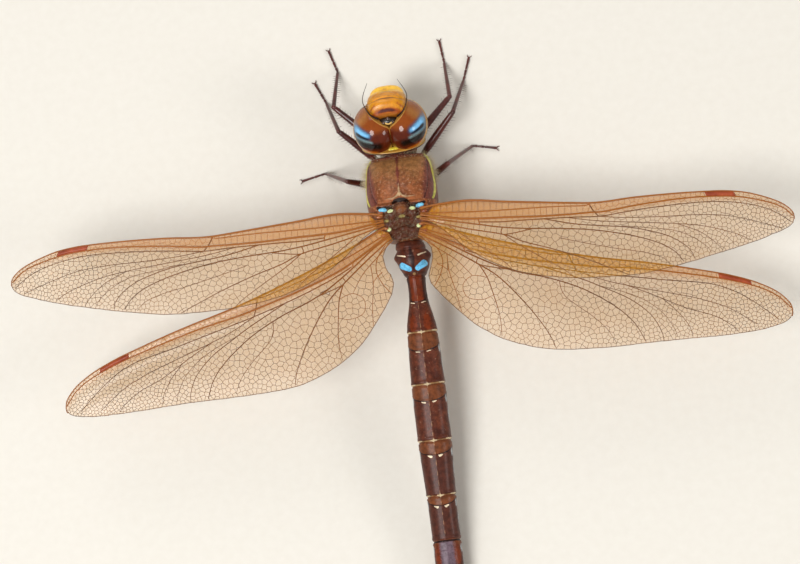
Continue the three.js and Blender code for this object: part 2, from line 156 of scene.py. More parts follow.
def new_material(name, constants):
    """A material, its node tree and its Principled shader, whose sockets hold these constants."""
    material = bpy.data.materials.new(name)
    material.use_nodes = True
    shader = material.node_tree.nodes["Principled BSDF"]
    for socket, value in constants.items():
        shader.inputs[socket].default_value = value
    return material, material.node_tree, shader


def make_floor():
    mesh = bpy.data.meshes.new("table_top")
    half = FLOOR_SIZE / 2
    corners = [(-half, -half, 0), (half, -half, 0), (half, half, 0), (-half, half, 0)]
    mesh.from_pydata(corners, [], [(0, 1, 2, 3)])
    material, tree, shader = new_material("matt_card", {"Roughness": 0.9})
    fibre = noise(tree, object_place(tree), 900.0, 3.0)
    tree.links.new(blend(tree, fibre, paint("dcd7cd"), paint("e3dfd6")), shader.inputs["Base Color"])
    mesh.materials.append(material)
    new_object("table_top", mesh)


def light_studio():
    world = bpy.data.worlds.new("room")
    world.use_nodes = True
    background = world.node_tree.nodes["Background"]
    background.inputs["Color"].default_value = ROOM["colour"]
    background.inputs["Strength"].default_value = ROOM["strength"]
    bpy.context.scene.world = world
    for name, lamp in LAMPS.items():
        data = bpy.data.lights.new(name, "AREA")
        data.shape = "DISK"
        data.size = lamp["width"]
        data.energy = lamp["power"]
        back = np.array(lamp["from"]) / np.linalg.norm(lamp["from"])
        light = new_object(name, data)
        light.location = back * lamp["distance"]
        light.rotation_mode = "QUATERNION"
        light.rotation_quaternion = Vector(back).to_track_quat("Z", "Y")


make_floor()
light_studio()
bpy.context.scene.view_settings.view_transform = "Standard"


# ---- Abdomen -----------------------------------------------------------------------------------------------
# Ten rings of glossy brown cuticle, swollen at the second, waisted in the third. Each ring's rear edge laps
# over the next, a fine keel runs down the back, and a ridge crosses each ring behind its paler front third.
SEGMENTS = [3.0, 4.0, 7.5, 14.8, 21.5, 28.7, 35.7, 41.4, 45.8, 49.3, 51.5]
ABDOMEN = {"base_height": 8.9, "tip_height": 1.0, "arch": 1.1, "squareness": 2.2, "skin_depth": 0.03}
RIDGES = [5.15, 11.05, 17.35, 23.8, 30.65, 37.1, 42.9, 46.9]  # of the second ring and those behind it


def smooth_line(points, steps=12):
    """Points on a smooth curve through the given ones, with this many steps between each two."""
    p = np.asarray(points, float)
    held = np.vstack([p[:1], p, p[-1:]])
    before, start, end, after = held[:-3], held[1:-2], held[2:-1], held[3:]
    leave, arrive = (end - before) / 2, (after - start) / 2
    t = (np.arange(steps) / steps)[None, :, None]
    cubic = 2 * (start - end) + leave + arrive
    square = 3 * (end - start) - 2 * leave - arrive
    inner = ((cubic[:, None] * t + square[:, None]) * t + leave[:, None]) * t + start[:, None]
    return np.vstack([inner.reshape(-1, p.shape[1]), p[-1:]])


def profile(*pairs):
    """A value that changes smoothly along the body, through (place, value) pairs."""
    line = smooth_line(pairs)
    return lambda place: np.interp(place, line[:, 0], line[:, 1])


def unit(vector):
    return np.asarray(vector, float) / np.linalg.norm(vector)


def superellipse(count, power):
    """Across and up shares of points evenly round a squared circle."""
    angle = np.arange(count) / count * 2 * np.pi
    c, s = np.cos(angle), np.sin(angle)
    return np.sign(c) * abs(c) ** (2 / power), np.sign(s) * abs(s) ** (2 / power)


def loft(rings):
    """Points and faces of the closed shell through rings of one count of points."""
    rings = np.asarray(rings, float)
    rows, count = rings.shape[:2]
    points = np.vstack([rings.reshape(-1, 3), rings[0].mean(0), rings[-1].mean(0)])
    first = np.arange(rows - 1)[:, None] * count
    here, beside = first + np.arange(count), first + (np.arange(count) + 1) % count
    faces = np.stack([here, beside, beside + count, here + count], -1).reshape(-1, 4).tolist()
    for middle, row in ((rows * count, 0), (rows * count + 1, (rows - 1) * count)):
        for i in range(count):
            edge = [row + i, row + (i + 1) % count]
            faces.append([*(edge if row else edge[::-1]), middle])
    return points, faces


def new_piece(name, points, faces, closed=True):
    """An object in millimetres. The faces of a closed one are turned outwards."""
    mesh = bpy.data.meshes.new(name)
    mesh.from_pydata(np.asarray(points).tolist(), [], faces)
    if closed:
        shell = bmesh.new()
        shell.from_mesh(mesh)
        bmesh.ops.recalc_face_normals(shell, faces=shell.faces)
        shell.to_mesh(mesh)
        shell.free()
    return new_object(name, mesh)


def places_of(mesh):
    found = np.empty(len(mesh.vertices) * 3)
    mesh.vertices.foreach_get("co", found)
    return found.reshape(-1, 3)


def move_to(mesh, points):
    mesh.vertices.foreach_set("co", np.asarray(points, float).ravel())
    mesh.update()


def store(piece, name, values):
    """Stores a number, a pair or a way in space for each point of a piece."""
    values = np.asarray(values, float)
    kind = {1: "FLOAT", 2: "FLOAT2", 3: "FLOAT_VECTOR"}[values.size // len(values)]
    attribute = piece.data.attributes.new(name, kind, "POINT")
    attribute.data.foreach_set("value" if kind == "FLOAT" else "vector", values.ravel())


def mark(piece, name, distance, blur=0.1, where=True):
    """Stores how surely each point lies in a marking, from its distance inside the edge in millimetres."""
    sureness = 0.5 + np.where(where, distance, -1) / (2 * blur)
    store(piece, name, np.clip(sureness, 0, 1))


def either(*distances):
    """Distance inside at least one of several shapes."""
    return np.maximum.reduce(np.broadcast_arrays(*distances))


def both(*distances):
    """Distance inside all of several shapes."""
    return np.minimum.reduce(np.broadcast_arrays(*distances))


def settle(piece, material, slot, *nodes):
    """Puts a finished piece in its place on the model, where it stands for these solids."""
    move_to(piece.data, placed(places_of(piece.data)))
    if material:
        piece.data.materials.append(material)
    piece.data.shade_smooth()
    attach(piece, "root")
    if nodes:
        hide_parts(*nodes)


def from_ellipse(x, y, cx, cy, rx, ry, turn=0.0):
    """Distance inside an ellipse, in millimetres."""
    c, s = math.cos(math.radians(turn)), math.sin(math.radians(turn))
    across, along = (x - cx) * c + (y - cy) * s, (y - cy) * c - (x - cx) * s
    return (1 - np.hypot(across / rx, along / ry)) * min(rx, ry)


def from_line(x, y, start, end, half):
    """Distance inside a bar of this half-width with round ends, in millimetres."""
    (x0, y0), (x1, y1) = start, end
    share = np.clip(((x - x0) * (x1 - x0) + (y - y0) * (y1 - y0)) / ((x1 - x0) ** 2 + (y1 - y0) ** 2), 0, 1)
    return half - np.hypot(x - x0 - share * (x1 - x0), y - y0 - share * (y1 - y0))


def bell(distance, width):
    return np.exp(-(distance / width) ** 2)


def new_group(kind, name, inputs, outputs):
    """A node group with sockets of {name: kind}, the outlets of its inputs, and the node it ends in."""
    group = bpy.data.node_groups.new(name, kind)
    for in_out, sockets in (("INPUT", inputs), ("OUTPUT", outputs)):
        for label, socket in sockets.items():
            group.interface.new_socket(label, in_out=in_out, socket_type="NodeSocket" + socket)
    given = add_node(group, "NodeGroupInput").outputs
    return group, given, add_node(group, "NodeGroupOutput")


def make_mark_edge():
    """Shader group: a marking's slightly uneven sharp edge, from its stored sureness."""
    group, given, end = new_group(
        "ShaderNodeTree", "mark_edge", {"Sureness": "Float", "Place": "Vector", "Uneven": "Float"},
        {"Mask": "Float"})
    around = add_node(group, "ShaderNodeMath", {0: noise(group, given["Place"], 7000.0), 1: 0.5},
                      operation="SUBTRACT").outputs[0]
    shift = scaled_sum(group, around, given["Uneven"], given["Sureness"])
    group.links.new(spread(group, shift, 0.37, 0.63, shape="SMOOTHSTEP"), end.inputs["Mask"])
    return group


def make_cuticle_grain():
    """Shader group: brown cuticle, clouded with a deeper colour, and finely pitted."""
    group, given, end = new_group(
        "ShaderNodeTree", "cuticle_grain",
        {"Place": "Vector", "Base": "Color", "Deep": "Color", "Cloud Scale": "Float", "Roughness": "Float",
         "Pit Scale": "Float"},
        {"Color": "Color", "Roughness": "Float", "Height": "Float"})
    place = given["Place"]
    clouds = spread(group, noise(group, place, given["Cloud Scale"], 5.0, 0.6), 0.36, 0.64)
    pits = add_node(group, "ShaderNodeTexVoronoi", {"Vector": place, "Scale": given["Pit Scale"]},
                    feature="F1")
    pit = spread(group, pits.outputs["Distance"], 0.05, 0.4, 0.72, 1.06)
    pitted = add_node(group, "ShaderNodeHueSaturation", {
        "Color": blend(group, clouds, given["Base"], given["Deep"]), "Value": pit})
    fine = noise(group, place, 12000.0, 3.0)
    group.links.new(pitted.outputs[0], end.inputs["Color"])
    group.links.new(scaled_sum(group, fine, 0.3, given["Roughness"]), end.inputs["Roughness"])
    group.links.new(scaled_sum(group, pit, 0.8, fine), end.inputs["Height"])
    return group


mark_edge = make_mark_edge()
cuticle_grain = make_cuticle_grain()


def cuticle(name, base, deep, marks=(), cloud=900.0, roughness=0.3, coat=0.3, relief=0.00002,
            pits=9000.0, shine=0.5, pale_flecks=None, mottle=0.1, uneven=0.5, gloss=0.2):
    """Glossy insect cuticle of two clouded browns, with its markings given as (stored name, colour).

    Pale flecks are a paler colour scattered in small specks: (colour, how finely, how seldom, how much).
    Mottle is how far the markings and all between them darken in blotches, uneven how ragged the markings'
    edges are, and gloss how rough the clear coat is.
    """
    material, tree, shader = new_material(name, {"Coat Weight": coat, "Coat Roughness": gloss, "IOR": 1.55,
                                                 "Specular IOR Level": shine})
    place = object_place(tree)
    grain = add_node(tree, "ShaderNodeGroup", {
        "Place": place, "Base": paint(base), "Deep": paint(deep), "Cloud Scale": cloud, "Pit Scale": pits,
        "Roughness": roughness - 0.15}, node_tree=cuticle_grain)
    colour = grain.outputs["Color"]
    if pale_flecks:
        pale, fineness, rarity, strength = pale_flecks
        flecks = noise(tree, place, fineness, 4.0)
        share = spread(tree, flecks, rarity - 0.06, rarity + 0.06, 0.0, strength)
        colour = blend(tree, share, colour, paint(pale))
    for attribute, code in marks:
        sureness = add_node(tree, "ShaderNodeAttribute", attribute_name=attribute).outputs["Fac"]
        edge = add_node(tree, "ShaderNodeGroup", {
            "Sureness": sureness, "Place": place, "Uneven": uneven}, node_tree=mark_edge)
        colour = blend(tree, edge.outputs["Mask"], colour, paint(code))
    blotches = noise(tree, place, 1900.0, 6.0, 0.65)
    value = spread(tree, blotches, 0.36, 0.62, 1 - 1.6 * mottle, 1 + mottle)
    colour = add_node(tree, "ShaderNodeHueSaturation", {"Color": colour, "Value": value}).outputs[0]
    bump = add_node(tree, "ShaderNodeBump", {
        "Height": grain.outputs["Height"], "Strength": 0.5, "Distance": relief})
    tree.links.new(colour, shader.inputs["Base Color"])
    tree.links.new(grain.outputs["Roughness"], shader.inputs["Roughness"])
    tree.links.new(bump.outputs["Normal"], shader.inputs["Normal"])
    return material


abdomen_width = profile((3, 1.8), (5, 2.05), (6.3, 1.95), (7.5, 1.35), (9, 1.17), (10.8, 1.28), (13, 1.75),
                        (14.8, 1.98), (21.5, 2.22), (28.7, 2.2), (33, 2.05), (36, 1.93), (41.4, 1.86),
                        (46, 1.9), (49.3, 1.75), (51.5, 1.4))
abdomen_depth = profile((3, 2.1), (5, 2.35), (6.3, 2.25), (7.5, 1.7), (9.3, 1.4), (11.5, 1.5), (14.8, 1.8),
                        (21.5, 1.95), (28.7, 1.95), (36, 1.85), (41.4, 1.72), (46, 1.68), (49.3, 1.5),
                        (51.5, 1.15))
abdomen_side = profile((3, -0.15), (6, -0.42), (14, -0.3), (30, 0.1), (51.5, 0.6))


def abdomen_height(y):
    share = (np.asarray(y, float) - SEGMENTS[0]) / (SEGMENTS[-1] - SEGMENTS[0])
    level = ABDOMEN["base_height"] + share * (ABDOMEN["tip_height"] - ABDOMEN["base_height"])
    return level + ABDOMEN["arch"] * np.sin(np.pi * np.clip(share, 0, 1))


def ridge_line(place, share):
    """How far back a ring's cross ridge lies at this share of the half-width. Its sides curve forwards."""
    return place - 0.5 * share ** 2 - 0.45 * share ** 8


def abdomen_rings():
    """Rings along the abdomen, with joints, ridges, keel and folds carved into its skin."""
    rows, count = 490, 96
    y = np.linspace(SEGMENTS[0], SEGMENTS[-1], rows)[:, None]
    across, high = superellipse(count, ABDOMEN["squareness"])
    relief = np.zeros((rows, count)) - ABDOMEN["skin_depth"]
    for joint in SEGMENTS[1:-1]:
        behind = y - joint - 0.12 * (1 - abs(across)) * np.clip(high, 0, 1)
        relief += 0.05 * bell(behind + 0.25, 0.22) - 0.15 * bell(behind - 0.12, 0.13)
    for place in RIDGES:
        behind = y - ridge_line(place, abs(across))
        relief += (0.04 * bell(behind + 0.1, 0.08) - 0.05 * bell(behind, 0.06)) * (high > -0.3)
    relief += 0.06 * bell(across / 0.05, 1) * (high > 0) * (y > 7.6)  # the keel
    relief -= 0.12 * bell((abs(across) - 0.55) / 0.07, 1) * (high < -0.5)  # where the belly plates meet
    relief += 0.05 * bell((high + 0.35) / 0.1, 1)  # the fold along each side
    relief += 0.4 * bell(y - 5.0, 0.55) * bell((high - 0.1) / 0.3, 1)  # the lobes of the second ring
    ends = np.clip(np.minimum(y - SEGMENTS[0], SEGMENTS[-1] - y) / 0.35, 0, 1)
    rounding = 0.55 + 0.45 * np.sqrt(1 - (1 - ends) ** 2)
    x = abdomen_side(y) + across * (abdomen_width(y) + relief) * rounding
    z = abdomen_height(y) + high * (abdomen_depth(y) + relief) * rounding
    return np.stack([x, np.broadcast_to(y, x.shape), np.maximum(z, 0)], -1)


def mark_abdomen(piece):
    """The markings, from the place along the back and the distance out from its middle line."""
    points = places_of(piece.data)
    back, out = points[:, 1], abs(points[:, 0] - abdomen_side(points[:, 1]))
    rise = (points[:, 2] - abdomen_height(back)) / abdomen_depth(back)
    share = np.clip(out / abdomen_width(back), 0, 1)
    above = rise > 0.05
    mark(piece, "tail", (back - 30) * 0.1, 1.0)
    light = [both(back - joint, ridge_line(place, share) - back)
             for joint, place in zip(SEGMENTS[3:8], RIDGES[2:7])]
    mark(piece, "light", either(*light), 0.2)
    # Painted shade: the sides of the narrow front of the third ring are darkened where they turn away from the
    # light.
    mark(piece, "waist_flank_shade", both(back - 7.2, 11.2 - back, out - 0.62 * abdomen_width(back)), 0.35)
    rust = either(both(both(back - 7.6, 10.9 - back) * 0.7, 0.75 - out),
                  from_ellipse(out, back, 0.9, 13.8, 0.7, 1.7) - 0.2,
                  from_ellipse(out, back, 1.2, 43.4, 0.5, 1.5), from_ellipse(out, back, 1.1, 47.2, 0.4, 1.0))
    mark(piece, "rust", rust, 0.5)
    mark(piece, "shade", 0.3 * (1.3 - abs(back - 5.4) / 1.3) - out, 0.35, above)
    # Painted reflection: the greyish plum band down the middle of the eighth ring and those behind stands for
    # sky reflected in the gloss.
    mark(piece, "plum", both(back - 41.6, 0.9 - out), 0.8, above)
    mark(piece, "keel", 0.02 * np.sin(back * 5) - out, 0.07, above & (back > 8.2) & (back < 41))
    dark = [0.045 + 0.05 * share - abs(back - ridge_line(place, share) + 0.02) for place in RIDGES[1:6]]
    mark(piece, "dark", either(*dark, 0.12 - abs(back - SEGMENTS[7] - 0.2)))
    beside = [either(from_ellipse(share * 2, back, 1.9, place - 0.25, 0.08, 0.5),
                     from_ellipse(share * 2, back, 1.97, place + 1.8, 0.04, 1.0)) for place in RIDGES[2:]]
    mark(piece, "pale_blue", either(*beside), where=rise > -0.35)
    gold, pale_gold_and_glint = [from_ellipse(out, back, 0, 7.42, 0.22, 0.17)], []
    for joint, half in zip(SEGMENTS[3:7], (0.13, 0.13, 0.09, 0.07)):
        behind = back - joint - 0.12 * (1 - share) * above
        gold.append(half * 0.62 - abs(behind))
        # Painted highlight: the spot and the thin upright bar at the middle of each joint make a star-shaped
        # glint; the tapered pale ends at the sides are the joint's own colour.
        pale_gold_and_glint.append(from_ellipse(out, behind, 0, 0, 0.5, 0.1))
        pale_gold_and_glint.append(from_ellipse(out, behind, 0, 0, 0.07, 0.26))
        pale_gold_and_glint.append(both(0.05 + 0.15 * (share - 0.7) - abs(behind + 0.04), share - 0.68))
    mark(piece, "gold", either(*gold), 0.07)
    mark(piece, "pale_gold_and_glint", either(*pale_gold_and_glint), 0.1, above)
    cream = [from_line(out, back, (0.85, 5.15), (1.9, 4.75), 0.1 - 0.05 * np.clip(out - 0.9, 0, 1)),
             from_line(out, back, (0.45, 11.16), (0.95, 11.0), 0.055)]
    for place, half in zip(RIDGES[2:6], (0.09, 0.12, 0.17, 0.18)):
        behind = back - ridge_line(place, share) - 0.06
        cream.append(both(behind, 1.12 - out - behind * 1.5, 2 * half - behind - 0.06,
                          out - 0.36 - behind * 0.4))
    mark(piece, "cream", either(*cream), 0.07, above)
    blue = from_line(out, back, (0.52, 6.78), (1.42, 6.2), 0.3 + 0.1 * np.clip(out - 0.5, 0, 1))
    mark(piece, "blue", blue, where=above)


def make_abdomen():
    piece = new_piece("abdomen_skin", *loft(abdomen_rings()))
    mark_abdomen(piece)
    # Among these colours the darkened waist sides are painted shade, the greyish plum is a painted reflection
    # of the sky, and the pale gold is partly a painted highlight.
    material = cuticle("abdomen_cuticle", "5f2e1c", "451c10", [
        ("tail", "4c251a"), ("light", "6b391d"), ("waist_flank_shade", "3a1508"), ("rust", "6a280b"),
        ("shade", "2c100b"), ("plum", "67545e"), ("keel", "9a7150"), ("dark", "240d0a"),
        ("pale_blue", "9b9fa0"), ("gold", "8d6c45"), ("pale_gold_and_glint", "cbb692"), ("cream", "e6d2b2"),
        ("blue", "6fc3ee")], cloud=800.0, roughness=0.42, coat=0.08, shine=0.14,
        pale_flecks=("a07c66", 2300.0, 0.69, 0.5), mottle=0.24)
    settle(piece, material, "abdomen_cuticle", *["abdomen_s%d" % (i + 1) for i in range(10)])


make_abdomen()


# ---- Claspers ----------------------------------------------------------------------------------------------
# Two dark leaf-shaped blades at the tip of the abdomen, each with a keel, and a shorter plate under them that
# lies on the floor.
CERCUS_LENGTH, EPIPROCT_LENGTH = 5.6, 3.4
SIDES = {"left": 1, "right": -1}


def make_claspers():
    end = np.array([abdomen_side(SEGMENTS[-1]), SEGMENTS[-1], abdomen_height(SEGMENTS[-1])])
    root = end[1] - 0.1
    across, high = superellipse(28, 2)
    steps = np.linspace(0.0, 1, 60)
    half_width = profile((0, 0.38), (0.16, 0.32), (0.36, 0.56), (0.68, 0.66), (0.91, 0.46), (1, 0.1))
    half_depth = profile((0, 0.38), (0.16, 0.3), (0.36, 0.26), (0.68, 0.2), (0.91, 0.16), (1, 0.06))
    outwards = profile((0, 0.6), (0.16, 0.75), (0.36, 0.95), (0.68, 1.15), (0.91, 1.1), (1, 0.95))
    material = cuticle("clasper_cuticle", "3a1a15", "20100e", roughness=0.35, coat=0.5)
    for name, side in SIDES.items():
        rings = []
        for share in steps:
            back = share * CERCUS_LENGTH
            keel = 0.1 * bell(across / 0.2, 1) * (high > 0) * math.sin(math.pi * share)
            x = end[0] + side * outwards(share) + across * half_width(share)
            z = end[2] + 0.32 - 0.04 * back + high * half_depth(share) + keel
            rings.append(np.stack([x, np.full(len(x), root + back), z], -1))
        piece = new_piece("cercus_%s_shell" % name, *loft(rings))
        settle(piece, material, "abdomen_cuticle", "cercus_" + name)
    plate_width = profile((0, 0.85), (0.35, 0.72), (0.7, 0.46), (0.92, 0.3), (1, 0.1))
    rings = []
    for share in steps:
        back = share * EPIPROCT_LENGTH
        x = end[0] + across * plate_width(share)
        z = end[2] - 0.72 + 0.05 * back + high * 0.3 * (1 - 0.5 * share)
        rings.append(np.stack([x, np.full(len(x), root + back), np.maximum(z, 0)], -1))
    piece = new_piece("epiproct_shell", *loft(rings))
    settle(piece, material, "abdomen_cuticle", "epiproct")


make_claspers()

# ---- Thorax ------------------------------------------------------------------------------------------------
# The deep box that carries wings and legs, with its sloping chestnut shield in front of the wings, the small
# neck plate before it and the bossed plates between the wing roots. It is one shell, carved along its seams.
SKEW, THORAX_POWER = 0.55, 2.5
DECKS = [(-1.75, 12.3), (1.2, 11.95)]  # (from here back, height of the flat top that the wings lie on)
SHELL_STEP = 0.09  # size of the skin's squares
thorax_width = profile((-8.1, 3.9), (-7, 4.35), (-4.2, 4.6), (-2, 4.6), (0.5, 4.2), (2, 3.2), (3, 2.2))
thorax_top = profile((-8.1, 9.3), (-6.4, 10.8), (-4.2, 12.2), (-2.2, 13.1), (-1, 13.4), (1, 13.2), (3, 11.9))
thorax_belly = profile((-8.1, 4.9), (-6.4, 3.4), (-4.2, 3.0), (-1, 3.1), (1.4, 4.6), (3, 6.5))
NECK = [(-10.4, 1.0, 0.9), (-10.2, 1.25, 1.15), (-9.6, 1.7, 1.6), (-9.2, 2.2, 2.05), (-8.9, 1.9, 1.8),
        (-8.5, 2.3, 2.1), (-7.9, 2.5, 2.2)]  # place back, half-width, half-height
NECK_HEIGHT = 7.0
COLLAR = [(2.0, 1.3, 1.5), (3.0, 1.35, 1.55), (3.7, 1.3, 1.5)]  # the soft collar that the abdomen sits on
# Seams sunk into each side: their (back, up) ends, and their depth.
SEAMS = [((-8.0, 8.4), (-1.9, 12.4), 0.05), ((-6.4, 4.2), (0.2, 11.2), 0.1),
         ((-2.6, 3.2), (2.2, 10.6), 0.1)]
FORK = [(0.0, -3.0), (0.3, -2.5), (0.8, -2.2), (1.9, -2.2)]  # (out, back) places along an arm of the ridge
# Bosses of the back between the wings: place out, back and up, then half-sizes in the same order. All but
# those on the middle line are in pairs.
BOSSES = [
    (0, -0.7, 12.5, 1.15, 1.15, 1.15), (1.3, -0.3, 12.3, 0.75, 0.85, 0.75), (0, 0.75, 12.5, 0.85, 0.5, 0.8),
    (1.05, 0.75, 12.2, 0.5, 0.35, 0.45), (1.45, -0.72, 12.35, 0.5, 0.28, 0.45),
    (2.42, -0.95, 12.3, 0.68, 0.34, 0.45), (3.15, -0.35, 12.45, 0.85, 0.3, 0.35),
    (2.75, 0.3, 12.3, 0.75, 0.3, 0.35), (2.0, 0.5, 12.2, 0.38, 0.3, 0.4), (0, 1.75, 12.0, 0.85, 0.5, 0.75),
    (1.1, 2.05, 11.9, 0.6, 0.45, 0.5), (1.9, 1.68, 11.95, 0.4, 0.36, 0.4),
    (2.55, 2.4, 11.75, 0.55, 0.26, 0.3), (0, 2.55, 11.85, 0.5, 0.35, 0.5), (2.1, 1.15, 12.0, 0.6, 0.25, 0.3),
    (0.75, 2.75, 11.5, 0.5, 0.35, 0.45),
]
X, Y, Z = np.eye(3)


def ring(centre, side, rise, half_width, half_height, count, power=2.0, below=None):
    """A squared circle of points round a centre, which may reach another height below it."""
    across, high = superellipse(count, power)
    reach = np.where(high > 0, half_height, half_height if below is None else below) * high
    return np.asarray(centre) + np.outer(across * half_width, side) + np.outer(reach, rise)


def ball(centre, radii, count=20):
    """Points and faces of an ellipsoid."""
    rings = []
    for angle in np.linspace(0.08, math.pi - 0.08, count):
        middle = np.asarray(centre) - np.array([0, math.cos(angle) * radii[1], 0])
        reach = math.sin(angle)
        rings.append(ring(middle, X, Z, radii[0] * reach, radii[2] * reach, count))
    return loft(rings)


def joined(shells):
    """Points and faces of several shells as one."""
    points, faces, first = [], [], 0
    for shell_points, shell_faces in shells:
        points.append(shell_points)
        faces += [[first + i for i in face] for face in shell_faces]
        first += len(shell_points)
    return np.vstack(points), faces


def as_plain_mesh(name, piece):
    """The mesh that a piece's modifiers make of it."""
    depsgraph = bpy.context.evaluated_depsgraph_get()
    mesh = bpy.data.meshes.new_from_object(piece.evaluated_get(depsgraph))
    mesh.name = name
    return mesh


def one_skin(name, shells, step, rounds):
    """A single even skin over overlapping shells, eased by this many rounds of smoothing."""
    rough = new_piece(name + "_shells", *joined(shells))
    remesh = rough.modifiers.new("skin", "REMESH")
    remesh.mode = "VOXEL"
    remesh.voxel_size = step
    smooth = rough.modifiers.new("ease", "SMOOTH")
    smooth.factor = 0.5
    smooth.iterations = rounds
    mesh = as_plain_mesh(name, rough)
    bpy.data.objects.remove(rough)
    return new_object(name, mesh)


def normals_of(mesh):
    found = np.empty(len(mesh.vertices) * 3)
    mesh.vertices.foreach_get("normal", found)
    return found.reshape(-1, 3)


def thorax_box():
    """The wing-bearing box, with a rounded front and the decks cut into its top."""
    rings = []
    rounding = [(-0.42, 0.62), (-0.36, 0.8), (-0.22, 0.93), (0, 0.985)]
    stations = [(THORAX_FRONT + ahead, share) for ahead, share in rounding]
    stations += [(y, 1.0) for y in np.linspace(THORAX_FRONT + 0.25, 2.9, 70)]
    for y, share in stations:
        top, belly = thorax_top(y), thorax_belly(y)
        middle = belly + SKEW * (top - belly)
        points = ring((0, y, middle), X, Z, thorax_width(y) * share, (top - middle) * share, 72,
                      THORAX_POWER, below=(middle - belly) * share)
        for start, height in DECKS:
            if y > start:
                points[:, 2] = np.minimum(points[:, 2], height)
        rings.append(points)
    return loft(rings)


def store_coat(piece, hairy, long, lean, unwrap):
    """How thick and long the hair stands on a skin, how far it leans over, and a flat place for each root."""
    lie = normals_of(piece.data) + np.array(lean)
    store(piece, "hairy", hairy)
    store(piece, "long", long)
    store(piece, "lie", lie / np.linalg.norm(lie, axis=1)[:, None])
    store(piece, "unwrap", unwrap)


def fork_of(x, y):
    """Distance from the arms of the ridge down the shield, which part before the wings."""
    return either(*[from_line(abs(x), y, start, end, 0.0) for start, end in zip(FORK[:-1], FORK[1:])])


def carve_thorax(piece):
    """Sinks the seams into the sides, and raises the ridges of the shield and the grain behind it."""
    points, normals = places_of(piece.data), normals_of(piece.data)
    x, y, z = points.T
    out = abs(x)
    on_side = np.clip((out - 2.4) / 0.6, 0, 1) * (y < 2.6)
    relief = np.zeros(len(points))
    for start, end, depth in SEAMS:
        relief -= depth * bell(from_line(y, z, start, end, 0), 0.12) * on_side
    shield = (y < -1.7) & (z > 8.8)
    relief += 0.07 * bell(from_line(x, y, (0, -9), (0, -2.6), 0), 0.09) * shield
    relief += 0.12 * bell(fork_of(x, y), 0.14) * (z > 11)
    relief -= 0.05 * bell(from_line(out, y, (0.15, -3.9), (1.7, -2.5), 0), 0.2) * shield
    relief += 0.05 * bell(y + 8.25, 0.15) * (z > 8)
    rough = np.random.default_rng(5).uniform(-1, 1, len(points)) * (y > -1.6) * (z > 11.2)
    carved = points + normals * (relief - 0.02 + 0.035 * rough)[:, None]
    carved[:, 2] = np.maximum(carved[:, 2], 2.9)
    move_to(piece.data, carved)
    return points, carved


def mark_thorax(piece, x, y, z):
    out = abs(x)
    upper = np.interp(y, [-8.4, -7.5, -6.4, -4.2, -2.9, -1.8], [8.2, 8.6, 8.95, 9.7, 10.5, 11.4])
    lower = np.interp(y, [-8.4, -7.5, -6.4, -4.2, -2.9, -1.8], [7.1, 7.6, 8.0, 8.7, 9.6, 10.95])
    yellow = either(both(upper - z, z - lower, y + 8.4, -1.8 - y),
                    from_line(y, z, (-4.9, 3.9), (1.9, 10.6), 0.62))
    mark(piece, "yellow", yellow, where=out > 2.2)
    seams = either(from_line(y, z, *SEAMS[0][:2], 0.04), from_line(y, z, *SEAMS[1][:2], 0.1))
    mark(piece, "seams", seams, 0.12, out > 2.4)
    # Painted shade: the hollow where the shield drops to the deck and the grooves out towards the fore wing
    # roots are painted near black.
    pit = both(from_ellipse(x, y, 0, -1.45, 1.15, 0.75), -1.55 - y)
    mark(piece, "hollow_shade", either(pit, from_line(out, y, (1.3, -1.0), (3.0, -1.33), 0.2)), 0.2, z > 11)
    notch = from_line(out, y, (0, -4.2), (0, -2.6), 0.04 + 0.13 * np.clip((y + 4.2) / 1.6, 0, 1))
    mark(piece, "fork", either(fork_of(x, y) + 0.13 - 0.06 * out, notch), 0.25, z > 10.4)
    mark(piece, "ridge", 0.16 - out + 0.08 * np.sin(3 * y), 0.5, (y < -3.9) & (z > 9))
    mark(piece, "keel", 0.03 * np.sin(5 * y) - out, 0.08, (y < -4) & (z > 9))
    mark(piece, "between", 2.3 - out, 1.2, (y > -1.5) & (z > 11))
    mark(piece, "plum", either(out - 3.3 + 0.12 * (y + 5), -8.0 - y), 1.2, (y < -1.7) & (z > 7.6))
    mark(piece, "olive_front", -y - 5.6 + 0.4 * np.sin(2.3 * x), 8.0, z > 7.6)
    mark(piece, "blue", from_ellipse(out, y, 2.42, -0.97, 0.55, 0.32, -8), 0.05, z > 12.3)
    pale = either(from_ellipse(out, y, 1.45, -0.66, 0.4, 0.24, 6),
                  from_ellipse(out, y, 1.92, 1.6, 0.3, 0.27, 20))
    mark(piece, "pale", pale, 0.06, z > 11.7)
    olive = either(from_ellipse(out, y, 2.08, 0.5, 0.32, 0.18), from_ellipse(out, y, 1.9, 2.85, 0.22, 0.18),
                   from_ellipse(out, y, 0.1, 0.25, 0.3, 0.16))
    mark(piece, "olive", olive, 0.12, z > 11.3)
    amber = either(from_ellipse(out, y, 2.6, 2.42, 0.55, 0.26, -30),
                   from_ellipse(out, y, 3.15, -0.35, 0.8, 0.22), from_ellipse(out, y, 0, -0.75, 0.7, 0.6))
    mark(piece, "amber", amber, 0.4, z > 11.3)


